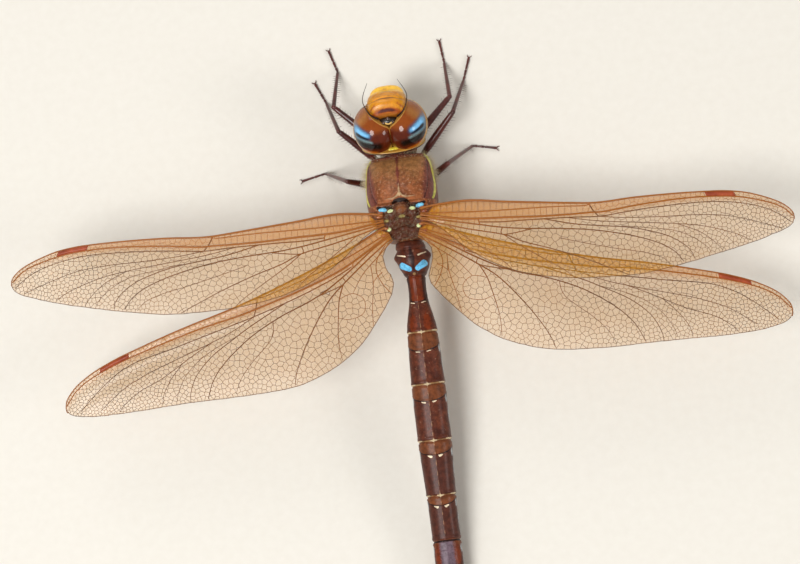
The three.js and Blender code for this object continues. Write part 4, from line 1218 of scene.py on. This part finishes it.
HIND = {
    "length": 48.1,
    "leading": [(-.5, .1), (.6, 0), (3.8, .15), (8, .2), (12, .12), (16, -.05), (19, -.25), (22, -.5),
                (25, -.85), (28, -1.25), (32, -1.65), (36, -1.95), (39, -2.12), (42.4, -2.02), (45.3, -1.5),
                (47.2, -.6), (47.85, .1), (48.1, .8)],
    "trailing": [(-.5, 3), (.3, 4.4), (1.2, 6.1), (3.3, 8), (7.5, 10.45), (10, 11.55), (13.4, 12.3),
                 (17, 12.4), (19.2, 12.2), (22.4, 11.5), (27, 10.1), (31.5, 8.5), (36, 6.95), (39.2, 5.9),
                 (42.2, 4.8), (44.5, 3.85), (46.5, 2.75), (47.6, 1.95), (48.1, 1.2)],
    # How far out the wing's hollow inner margin lies, at each place back.
    "inner": [(1.9, -.6), (2.1, .4), (3.06, 1.6), (4.1, 1.9), (4.85, 2.15), (5.4, 1.95), (5.9, 1.5),
              (7.2, 2.5)],
    "veins": {
        "subcosta": [.085, .06, (-.5, .8), (5, 1), (10, .85), (15, .45), (18, .1), (18.9, -.25)],
        "radius": [.14, .07, (-.5, 1.05), (3.4, 1.6), (7.5, 2), (13, 1.75), (18, 1.2), (22, .7), (26.5, -.15),
                   (30, -.65), (34, -1.1), (38, -1.45), (42.6, -1.5), (45.5, -1), (47.8, .2)],
        "nodus": [.13, .1, (18.6, -.25), (18.9, .15)],
        "subnodus": [.08, .06, (18.9, .15), (19.6, 1.05), (20.2, 1.75)],
        "arculus": [.08, .07, (5.4, 1.85), (5.8, 2.5)],
        "sector_1": [.08, .04, (5.9, 2.3), (9, 2.45), (13, 2.35), (16, 2.15), (20.2, 1.75), (24, 1.3),
                     (28.6, .7), (32, .25), (35, -.25), (37.4, -.5), (40, -.3), (43, .5), (46.5, 1.95)],
        "sector_2": [.05, .035, (20.2, 1.75), (24, 2.1), (28, 2.05), (32, 1.85), (36, 1.7), (40, 2.0),
                     (44, 3.2)],
        "sector_2b": [.05, .035, (26.5, 2.05), (29.4, 2.4), (32, 2.8), (35, 3.25), (38.5, 3.4), (41, 4.1),
                      (41.8, 4.6)],
        "sector_2c": [.045, .03, (31.5, 2.7), (33.8, 3.9), (35.6, 5.3), (36.4, 6.5)],
        "sector_3": [.07, .04, (15.4, 2.15), (18.9, 2.4), (21.5, 2.65), (23.7, 3), (27.5, 3.7), (30.5, 5),
                     (32.3, 6.7), (33, 8)],
        "media": [.11, .045, (-.5, 1.3), (2.2, 1.65), (5.8, 2.5), (8.5, 3.05), (10.8, 3.4), (13.5, 3.5),
                  (17, 3.4), (20.9, 3.7), (24, 4.4), (26.8, 5.4), (29, 6.7), (30.7, 8.5)],
        "triangle": [.07, .06, (7.6, 2.85), (7.9, 3.7), (12, 3.45)],
        "cubitus": [.11, .04, (-.5, 1.6), (4, 2.6), (7.9, 3.7), (10.5, 4.6), (13.4, 6.3), (16.6, 8.6),
                    (18.8, 10.6), (19.8, 11.9)],
        "cubitus_2": [.08, .035, (7.9, 3.7), (9.3, 5.1), (10.6, 7.1), (12, 9.6), (12.8, 12.0)],
        "anal_loop": [.04, .035, (9.3, 5.1), (7.4, 5.3), (6.5, 6.7), (7.4, 8.1), (9.3, 8.0), (10.6, 7.1)],
        "anal": [.07, .035, (-.5, 1.9), (2.2, 2.8), (5, 3.8), (7.4, 5.3)],
        "anal_2": [.05, .035, (3.6, 3.3), (4.4, 5.4), (6.0, 8.0), (7.1, 10.1)],
        "anal_triangle": [.06, .05, (.6, 2), (2.3, 2.9), (3.3, 4.3), (3.4, 6), (3, 7.6)],
        "triangle_bar": [.05, .04, (2.7, 4.8), (3.6, 5), (4.4, 5.4)],
        "median_plait": [.045, .03, (18.3, 3.4), (18.9, 4.6), (19.8, 5.4), (21.4, 6.1), (23.4, 6.9),
                         (25.6, 8.1), (27.2, 9.6)],
        "radial_plait": [.035, .03, (23.4, 2.95), (26.5, 3.0), (29.5, 3.45), (32, 4.5), (33.8, 6.0),
                         (34.5, 7.0)],
    },
    "nodus": 18.9, "dense_from": 31,
}
FRONT_VEINS = ("costa", "subcosta", "radius", "nodus", "arculus")  # golden brown to the tip
# Reach stretches a wing, bow bends its outer half back, and full widens it, at each place out.
WINGS = {
    "forewing_left": {
        "plan": FORE, "side": 1, "root": (4.0, -.5, 12.9), "sweep": 2.3, "rise": 2, "tilt": 3,
        "reach": 1.018, "bow": 0.1, "full": [(0, 1), (30, 1), (46, 1.06)], "stigma": (36.3, 40.2)},
    "forewing_right": {
        "plan": FORE, "side": -1, "root": (4.0, -.5, 12.9), "sweep": 9.8, "rise": 1, "tilt": 3,
        "reach": 0.992, "bow": -0.25, "full": [(0, 1)], "stigma": (35.2, 38.9)},
    "hindwing_left": {
        "plan": HIND, "side": 1, "root": (2.8, 1.4, 12.32), "sweep": 21.3, "rise": -3, "tilt": -1,
        "reach": 0.985, "bow": -0.35, "full": [(0, 1.03), (20, 1.02), (33, .95), (48, .87)],
        "stigma": (37.5, 41.8)},
    "hindwing_right": {
        "plan": HIND, "side": -1, "root": (2.8, 1.4, 12.32), "sweep": 20.5, "rise": -3, "tilt": -1,
        "reach": 1.003, "bow": 0.0, "full": [(0, 1)], "stigma": (38.1, 42.3)},
}


def edge_of(points):
    line = smooth_line(points)
    return lambda out: np.interp(out, line[:, 0], line[:, 1])


def fields_between(inside, barrier):
    """Numbers from 1 the fields that the barrier parts, and gives the barrier itself to its neighbours."""
    width = inside.shape[1]
    free, blocked, outer = 0, -2, -1
    flat = np.where(inside, np.where(barrier, blocked, free), outer).ravel().tolist()
    count = 0
    for start in range(len(flat)):
        if flat[start] != free:
            continue
        count += 1
        flat[start] = count
        stack = [start]
        while stack:
            at = stack.pop()
            for near in (at - 1, at + 1, at - width, at + width):
                if flat[near] == free:
                    flat[near] = count
                    stack.append(near)
    fields = np.array(flat).reshape(inside.shape)
    sizes = np.bincount(fields.ravel().clip(0))
    specks = np.flatnonzero(sizes < SPECK / GRID_STEP ** 2)
    fields[np.isin(fields, specks[specks > 0])] = blocked
    for _ in range(60):
        if not (fields == blocked).any():
            break
        for axis, step in ((0, 1), (0, -1), (1, 1), (1, -1)):
            beside = np.roll(fields, step, axis)
            fields = np.where((fields == blocked) & (beside > 0), beside, fields)
    return np.where(fields == blocked, outer, fields)


def nearest(places, seeds):
    """For each place the number of the nearest seed."""
    cross = places @ seeds.T
    return np.argmin((seeds ** 2).sum(1)[None, :] - 2 * cross, axis=1)


def cell_width(plan, out, share):
    """Width of the net's cells, which are smaller towards the tip and the trailing edge."""
    wide = np.interp(out, [0, 8, 20, plan["dense_from"], plan["length"]], CELL_WIDTHS)
    return wide * (1 - 0.2 * share ** 2)


def lay_seeds(plan, fields, low, random, share):
    """Middles of the cells: in one row where a field is narrow, and evenly scattered where it is wide."""
    seeds, owners = [], []
    for field in range(1, fields.max() + 1):
        rows, columns = np.nonzero(fields == field)
        if not len(rows):
            continue
        places = np.stack([columns, rows], 1) * GRID_STEP + low
        span = places[:, 0].max() - places[:, 0].min() + GRID_STEP
        depth = len(rows) * GRID_STEP ** 2 / span
        size = cell_width(plan, places[:, 0].mean(), share[rows, columns].mean())
        found = []
        if depth < max(1.4 * size, ONE_ROW):
            count = max(1, round(span / (size * 0.9)))
            for k in range(count):
                out = places[:, 0].min() + (k + 0.5) * span / count
                column = places[abs(places[:, 0] - out) < GRID_STEP]
                if len(column):
                    found.append([out + random.uniform(-0.04, 0.04), column[:, 1].mean()])
        if not found:
            order = random.permutation(len(places))[:SEED_TRIALS]
            sizes = cell_width(plan, places[:, 0], share[rows, columns]) * 0.86
            kept = np.zeros((0, 2))
            for at in order:
                if not len(kept) or ((kept - places[at]) ** 2).sum(1).min() > sizes[at] ** 2:
                    kept = np.vstack([kept, places[at]])
            for _ in range(2):  # evens the cells out
                owner = nearest(places, kept)
                total = np.maximum(np.bincount(owner, minlength=len(kept)), 1)
                kept = np.stack([np.bincount(owner, places[:, i], len(kept)) / total for i in (0, 1)], 1)
            found = kept.tolist()
        seeds += found
        owners += [field] * len(found)
    return np.array(seeds), np.array(owners)


def vein_grid(plan, low, shape):
    """Which squares of the grid a long vein runs through."""
    barrier = np.zeros(shape, bool)
    for _, _, *places in plan["veins"].values():
        line = smooth_line(places, 12)
        steps = np.linspace(0, len(line) - 1, int(4 * 60 / GRID_STEP))
        dense = np.stack([np.interp(steps, np.arange(len(line)), line[:, i]) for i in (0, 1)], 1)
        grid = np.round((dense - low) / GRID_STEP).astype(int)
        barrier[grid[:, 1].clip(0, shape[0] - 1), grid[:, 0].clip(0, shape[1] - 1)] = True
    return barrier


def cells_round(fields, low, seeds, owners):
    """The number of the cell that each square of the grid is in, or -1 outside the wing."""
    cells = np.full(fields.shape, -1)
    for field in range(1, fields.max() + 1):
        at = fields == field
        own = np.flatnonzero(owners == field)
        if at.any() and len(own):
            y, x = np.nonzero(at)
            cells[at] = own[nearest(np.stack([x, y], 1) * GRID_STEP + low, seeds[own])]
    return cells


def corners_of(cells, low):
    """The corners of the net and the cells that touch each one.

    A corner is where three or more cells, or the outside, meet. Corners closer than a vein's width are one.
    """
    four = np.stack([cells[:-1, :-1], cells[:-1, 1:], cells[1:, :-1], cells[1:, 1:]], -1)
    meets = (np.diff(np.sort(four, -1), axis=-1) != 0).sum(-1) >= 2
    y, x = np.nonzero(meets)
    spots = np.stack([x + 0.5, y + 0.5], 1) * GRID_STEP + low
    around = four[y, x]
    corner_of, corners, touching = np.full(len(spots), -1), [], []
    for i in range(len(spots)):
        if corner_of[i] >= 0:
            continue
        close = np.flatnonzero(((spots - spots[i]) ** 2).sum(1) < SAME_CORNER ** 2)
        close = close[corner_of[close] < 0]
        corner_of[close] = len(corners)
        corners.append(spots[close].mean(0))
        touching.append(set(around[close].ravel().tolist()))
    return np.array(corners), touching


def rings_and_links(corners, touching, owners):
    """Each cell as a ring of corners, and the cross veins and the rim as corners joined in pairs."""
    by_cell = {}
    for corner, labels in enumerate(touching):
        for label in labels:
            if label >= 0:
                by_cell.setdefault(label, []).append(corner)
    rings, sides = [], {}
    for label, members in by_cell.items():
        if len(members) < 3:
            continue
        middle = corners[members].mean(0)
        turn = np.arctan2(*(corners[members] - middle).T[::-1])
        members = [members[i] for i in np.argsort(turn)]
        rings.append(members)
        for start, end in zip(members, members[1:] + members[:1]):
            sides.setdefault((min(start, end), max(start, end)), []).append(label)
    links = []
    for (start, end), labels in sides.items():
        if len(labels) == 1:
            links.append((start, end, NET_HALF["rim"]))
        elif len(labels) == 2 and owners[labels[0]] == owners[labels[1]]:
            links.append((start, end, NET_HALF["cross"]))
    return rings, links


def net_of(plan, seed):
    """The wing's net: its corners, its cells as rings of corners, and its cross veins as pairs of corners."""
    random = np.random.default_rng(seed)
    start, end = plan["leading"][0][0], plan["length"]
    low = np.array([start - 3 * GRID_STEP, GRID_FRONT])
    columns = int((end - low[0]) / GRID_STEP) + 4
    rows = int((GRID_REAR - low[1]) / GRID_STEP)
    out = (low[0] + np.arange(columns) * GRID_STEP)[None, :]
    back = (low[1] + np.arange(rows) * GRID_STEP)[:, None]
    lead, trail = edge_of(plan["leading"])(out), edge_of(plan["trailing"])(out)
    inner = np.interp(back, *zip(*plan["inner"]))
    inside = (back > lead) & (back < trail) & (out > start) & (out < end) & (out > inner)
    share = np.clip((back - lead) / np.maximum(trail - lead, 0.1), 0, 1)
    fields = fields_between(inside, vein_grid(plan, low, inside.shape))
    seeds, owners = lay_seeds(plan, fields, low, random, share)
    corners, touching = corners_of(cells_round(fields, low, seeds, owners), low)
    return corners, *rings_and_links(corners, touching, owners)


def wing_point(plan, places, lift=0.0):
    """Places on the wing, in its own lines, with their height over its plane."""
    out, back = np.asarray(places, float).T
    front, rear = edge_of(plan["leading"])(out), edge_of(plan["trailing"])(out)
    share = np.clip((back - front) / np.maximum(rear - front, 0.1), 0, 1)
    pleats = np.interp(back - front, *PLEATS)
    height = WING["camber"] * np.sin(np.pi * share) - WING["tip_fall"] * (out / plan["length"]) ** 2
    return np.stack([out, back, height + pleats + lift], 1)


def past_radius(plan, out, back):
    """How far behind the radius, the vein that stiffens the front, a place on the wing lies."""
    return back - edge_of(plan["veins"]["radius"][2:])(out)


def onto_body(wing, points):
    """The wing's own points, turned and moved to where it joins the thorax."""
    side = wing["side"]
    tilt, rise, sweep = (math.radians(wing[key]) for key in ("tilt", "rise", "sweep"))
    turn = Matrix.Rotation(side * sweep, 3, "Z") @ Matrix.Rotation(-side * rise, 3, "Y")
    turn = np.array(turn @ Matrix.Rotation(tilt, 3, "X"))
    root = np.array(wing["root"]) * (side, 1, 1)
    out, back, height = points.T
    full = np.where(back > 0, np.interp(out, *zip(*wing["full"])), 1)
    back = back * full + wing["bow"] * (out / 37) ** 2
    shaped = np.stack([out * wing["reach"], back, height], 1)
    return (shaped * (side, 1, 1)) @ turn.T + root


def make_vein_tree():
    """Geometry tree: a tube round every edge, of the half-thickness stored on its points."""
    tree, given, end = new_group(
        "GeometryNodeTree", "vein_tubes", {"Lines": "Geometry", "Sides": "Int", "Material": "Material"},
        {"Tubes": "Geometry"})
    curve = add_node(tree, "GeometryNodeMeshToCurve", {"Mesh": given["Lines"]})
    circle = add_node(tree, "GeometryNodeCurvePrimitiveCircle", {"Resolution": given["Sides"], "Radius": 1.0})
    tube = add_node(tree, "GeometryNodeCurveToMesh", {
        "Curve": curve.outputs[0], "Profile Curve": circle.outputs["Curve"], "Scale": stored(tree, "half")})
    finish_tree(tree, realized(tree, tube.outputs[0]), given, end)
    return tree


def film_material():
    """Clear amber film, deeper in colour along the front edge and at the root, faintly wrinkled."""
    material, tree, shader = new_material("wing_film", {"Roughness": 0.24, "IOR": 1.56, "Coat Weight": 0.12,
                                                        "Coat Roughness": 0.15, "Specular IOR Level": 0.35})
    place = object_place(tree)
    tint = add_node(tree, "ShaderNodeAttribute", attribute_name="tint").outputs["Fac"]
    amount = scaled_sum(tree, noise(tree, place, 260.0, 3.0), 0.3, tint)
    amber = blend(tree, amount, paint("d9a028"), paint("cf8614"))
    bump = add_node(tree, "ShaderNodeBump", {
        "Height": noise(tree, place, 1700.0, 3.0), "Strength": 0.35, "Distance": 0.0001})
    tree.links.new(amber, shader.inputs["Base Color"])
    tree.links.new(spread(tree, amount, 0.1, 1.1, 0.17, 0.46), shader.inputs["Alpha"])
    tree.links.new(bump.outputs["Normal"], shader.inputs["Normal"])
    return material


def vein_material(name, base, deep, bright=None):
    """Horny vein, brown and a little glossy, clouded along its length, bright as far as its tone says."""
    material, tree, shader = new_material(name, {"Roughness": 0.4, "Coat Weight": 0.08,
                                                 "Specular IOR Level": 0.3})
    place = object_place(tree)
    clouds = spread(tree, noise(tree, place, 350.0, 3.0), 0.35, 0.65)
    colour = blend(tree, clouds, paint(base), paint(deep))
    if bright:
        tone = add_node(tree, "ShaderNodeAttribute", attribute_name="tone").outputs["Fac"]
        colour = blend(tree, tone, colour, paint(bright))
    bump = add_node(tree, "ShaderNodeBump", {
        "Height": noise(tree, place, 6000.0), "Strength": 0.3, "Distance": 0.00002})
    tree.links.new(colour, shader.inputs["Base Color"])
    tree.links.new(bump.outputs["Normal"], shader.inputs["Normal"])
    return material


film = film_material()
long_vein = vein_material("long_veins", "64390f", "462609", "94561a")
net_vein = vein_material("net_veins", "6e4314", "4d2c0c", "8a5118")
stigma_material = cuticle("wing_spot", "a34a28", "88381d", cloud=500.0, roughness=0.4, coat=0.1, shine=0.2)
vein_tree = make_vein_tree()


def flat_map(piece):
    """Lays the piece out flat, as seen from above, for its colours to be kept on."""
    points = places_of(piece.data)
    low, high = points.min(0), points.max(0)
    layer = piece.data.uv_layers.new(name="OFBake")
    corner = np.empty(len(piece.data.loops), np.int32)
    piece.data.loops.foreach_get("vertex_index", corner)
    flat = (points[:, :2] - low[:2]) / (high - low)[:2].max() * 0.96 + 0.02
    layer.uv.foreach_set("vector", flat[corner].astype(np.float32).ravel())


def make_film(name, wing, corners, rings, random):
    """The film as a low pyramid in each cell, so that every cell catches the light in its own way."""
    plan = wing["plan"]
    middles = np.array([corners[ring_].mean(0) for ring_ in rings])
    flat = np.vstack([corners, middles])
    lift = np.zeros(len(flat))
    lift[len(corners):] = random.uniform(-BULGE, BULGE, len(middles))
    points = wing_point(plan, flat, lift)
    faces = []
    for i, members in enumerate(rings):
        for a, b in zip(members, members[1:] + members[:1]):
            faces.append([a, b, len(corners) + i])
    front = np.clip(1 - past_radius(plan, *flat.T) / TINT["front_reach"], 0, 1)
    front = front * np.where(flat[:, 0] > wing["stigma"][1], TINT["past_spot"], 1)
    root = np.exp(-np.hypot(flat[:, 0] + 1, flat[:, 1] * 0.8) / TINT["root_reach"])
    tint = TINT["all"] + TINT["front"] * front + TINT["root"] * root
    piece = new_piece(name + "_film", onto_body(wing, points), faces, closed=False)
    store(piece, "tint", tint)
    thick = piece.modifiers.new("film", "SOLIDIFY")
    thick.thickness = WING["film"]
    thick.offset = 0
    mesh = as_plain_mesh(piece.name, piece)
    piece.modifiers.clear()
    piece.data = mesh
    flat_map(piece)
    settle(piece, film, "wing_membrane", name)


def make_veins(name, wing, corners, links):
    """The cross veins, and over them the long veins and the thick front edge."""
    plan = wing["plan"]
    net, long = ({"points": [], "edges": [], "half": [], "tone": []} for _ in range(2))
    for start, end, half in links:
        first = len(net["points"])
        net["points"] += [corners[start], corners[end]]
        net["edges"].append((first, first + 1))
        net["half"] += [half, half]
        net["tone"] += [float(np.clip(0.8 - past_radius(plan, *corners[start]), 0, 0.8))] * 2
    veins = dict(plan["veins"], costa=[.16, .05, *plan["leading"], plan["trailing"][-1]])
    for vein, (root_half, end_half, *places) in veins.items():
        line = smooth_line(places, 8)
        first = len(long["points"])
        long["points"] += line.tolist()
        long["edges"] += [(first + i, first + i + 1) for i in range(len(line) - 1)]
        long["half"] += np.linspace(root_half, end_half, len(line)).tolist()
        fading = np.exp(-np.maximum(line[:, 0], 0) / TONE_REACH)
        long["tone"] += (np.ones(len(line)) if vein in FRONT_VEINS else fading).tolist()
    for part, lines, sides, material in (("net", net, 5, net_vein), ("veins", long, 8, long_vein)):
        places = onto_body(wing, wing_point(plan, lines["points"], VEIN_LIFT))
        seedling = new_lines(places, lines["edges"])
        store(seedling, "half", lines["half"])
        store(seedling, "tone", lines["tone"])
        piece = grown(name + "_" + part, seedling, vein_tree, {"Sides": sides, "Material": material})
        flat_map(piece)
        settle(piece, None, "wing_membrane", name)


def make_stigma(name, wing):
    """The coloured cell on the front edge near the tip, thicker than the film round it."""
    plan = wing["plan"]
    front = edge_of(plan["leading"])
    radius = edge_of(plan["veins"]["radius"][2:])
    count = 24
    out = np.linspace(*wing["stigma"], count)
    slanted = out - SPOT["slant"]
    upper = np.stack([slanted, front(slanted) + 0.05], 1)
    flat = np.vstack([upper, np.stack([out, radius(out)], 1)])
    points = np.vstack([wing_point(plan, flat, SPOT[face]) for face in ("over", "under")])
    faces = []
    for i in range(count - 1):
        faces.append([i, i + 1, count + i + 1, count + i])
        faces.append([2 * count + i, 3 * count + i, 3 * count + i + 1, 2 * count + i + 1])
        faces.append([i, 2 * count + i, 2 * count + i + 1, i + 1])
        faces.append([count + i, count + i + 1, 3 * count + i + 1, 3 * count + i])
    faces.append([0, count, 3 * count, 2 * count])
    faces.append([count - 1, 3 * count - 1, 4 * count - 1, 2 * count - 1])
    piece = new_piece(name + "_spot", onto_body(wing, points), faces)
    settle(piece, stigma_material, "wing_membrane")


for number, (wing_name, wing_facts) in enumerate(WINGS.items()):
    net_corners, net_rings, net_links = net_of(wing_facts["plan"], 20 + number)
    make_film(wing_name, wing_facts, net_corners, net_rings, np.random.default_rng(40 + number))
    make_veins(wing_name, wing_facts, net_corners, net_links)
    make_stigma(wing_name, wing_facts)

# ---- Hair --------------------------------------------------------------------------------------------------
# Fine pale hair stands on the flanks, neck and belly of the thorax and between the wing roots, and sparsely
# on the cheeks and lip. Each is a bent tapering spine, rooted in the skin and leaning the way the coat lies.
PATCH = 0.003  # how much of the skin's unwrap one hair's colours take


def make_hair_tree():
    """Geometry tree: bent hairs scattered on a skin that carries how hairy it is, how long and the lie."""
    tree, given, end = new_group(
        "GeometryNodeTree", "bristle_coat",
        {"Skin": "Geometry", "Density": "Float", "Length": "Float", "Thickness": "Float",
         "Disorder": "Float", "Seed": "Int", "Material": "Material"},
        {"Hairs": "Geometry"})

    def times(first, second):
        return add_node(tree, "ShaderNodeMath", {0: first, 1: second}, operation="MULTIPLY").outputs[0]

    def sideways(amount):
        return add_node(tree, "ShaderNodeCombineXYZ", {"X": amount}).outputs[0]

    def plus(first, second):
        return add_node(tree, "ShaderNodeVectorMath", {0: first, 1: second}, operation="ADD").outputs[0]

    # One hair: a cone that bends over, with its length laid along a narrow strip of the unwrap.
    hair = add_node(tree, "GeometryNodeMeshCone", {
        "Vertices": 3, "Side Segments": 3, "Radius Top": 0.0, "Radius Bottom": given["Thickness"],
        "Depth": given["Length"]}, fill_type="NONE")
    place = add_node(tree, "GeometryNodeInputPosition")
    parts = add_node(tree, "ShaderNodeSeparateXYZ", {"Vector": place.outputs[0]})
    reach = add_node(tree, "ShaderNodeMath", {0: parts.outputs["Z"], 1: given["Length"]},
                     operation="DIVIDE").outputs[0]
    bend = times(times(reach, reach), times(given["Length"], 0.3))
    bent = add_node(tree, "GeometryNodeSetPosition", {
        "Geometry": hair.outputs["Mesh"], "Offset": sideways(bend)})
    patched = add_node(tree, "GeometryNodeStoreNamedAttribute", {
        "Geometry": bent.outputs[0], "Name": "along", "Value": sideways(times(reach, PATCH))},
        data_type="FLOAT_VECTOR", domain="POINT")

    # Where the hairs stand, how they lean and how long they are.
    roots = add_node(tree, "GeometryNodeDistributePointsOnFaces", {
        "Mesh": given["Skin"], "Density": times(stored(tree, "hairy"), given["Density"]),
        "Seed": given["Seed"]})
    scatter = add_node(tree, "FunctionNodeRandomValue", {
        "Min": (-1, -1, -1), "Max": (1, 1, 1), "Seed": given["Seed"]}, data_type="FLOAT_VECTOR")
    loose = add_node(tree, "ShaderNodeVectorMath", {
        0: scatter.outputs["Value"], "Scale": given["Disorder"]}, operation="SCALE")
    lean = plus(stored(tree, "lie", "FLOAT_VECTOR"), loose.outputs[0])
    turn = add_node(tree, "FunctionNodeAlignRotationToVector", {"Vector": lean}, axis="Z")
    size = add_node(tree, "FunctionNodeRandomValue", {"Min": 0.6, "Max": 1.1, "Seed": given["Seed"]},
                    data_type="FLOAT")
    size_value = [outlet for outlet in size.outputs if outlet.enabled][0]
    planted = add_node(tree, "GeometryNodeInstanceOnPoints", {
        "Points": roots.outputs["Points"], "Instance": patched.outputs[0],
        "Rotation": turn.outputs["Rotation"], "Scale": times(size_value, stored(tree, "long"))})
    mapped = add_node(tree, "GeometryNodeStoreNamedAttribute", {
        "Geometry": realized(tree, planted.outputs[0]), "Name": "OFBake",
        "Value": plus(stored(tree, "unwrap", "FLOAT_VECTOR"), stored(tree, "along", "FLOAT_VECTOR"))},
        data_type="FLOAT2", domain="CORNER")
    finish_tree(tree, mapped.outputs[0], given, end)
    return tree


def grow_hair(name, skin, slot, **values):
    """Hairs on a finished skin, as one plain mesh."""
    seedling = new_object("seedling", skin.data.copy())
    move_to(seedling.data, (places_of(skin.data) - origin) / MM)
    settle(grown(name, seedling, hair_tree, values), None, slot)


hair_tree = make_hair_tree()
pale_hair = vein_material("pale_hair", "e2d6b8", "c2ae88")
grow_hair("thorax_hair", thorax, "thorax_cuticle", Density=24.0, Length=1.05, Thickness=0.016,
          Disorder=0.5, Seed=3, Material=pale_hair)
grow_hair("face_hair", face, "face_cuticle", Density=9.0, Length=0.55, Thickness=0.012,
          Disorder=0.4, Seed=5, Material=pale_hair)
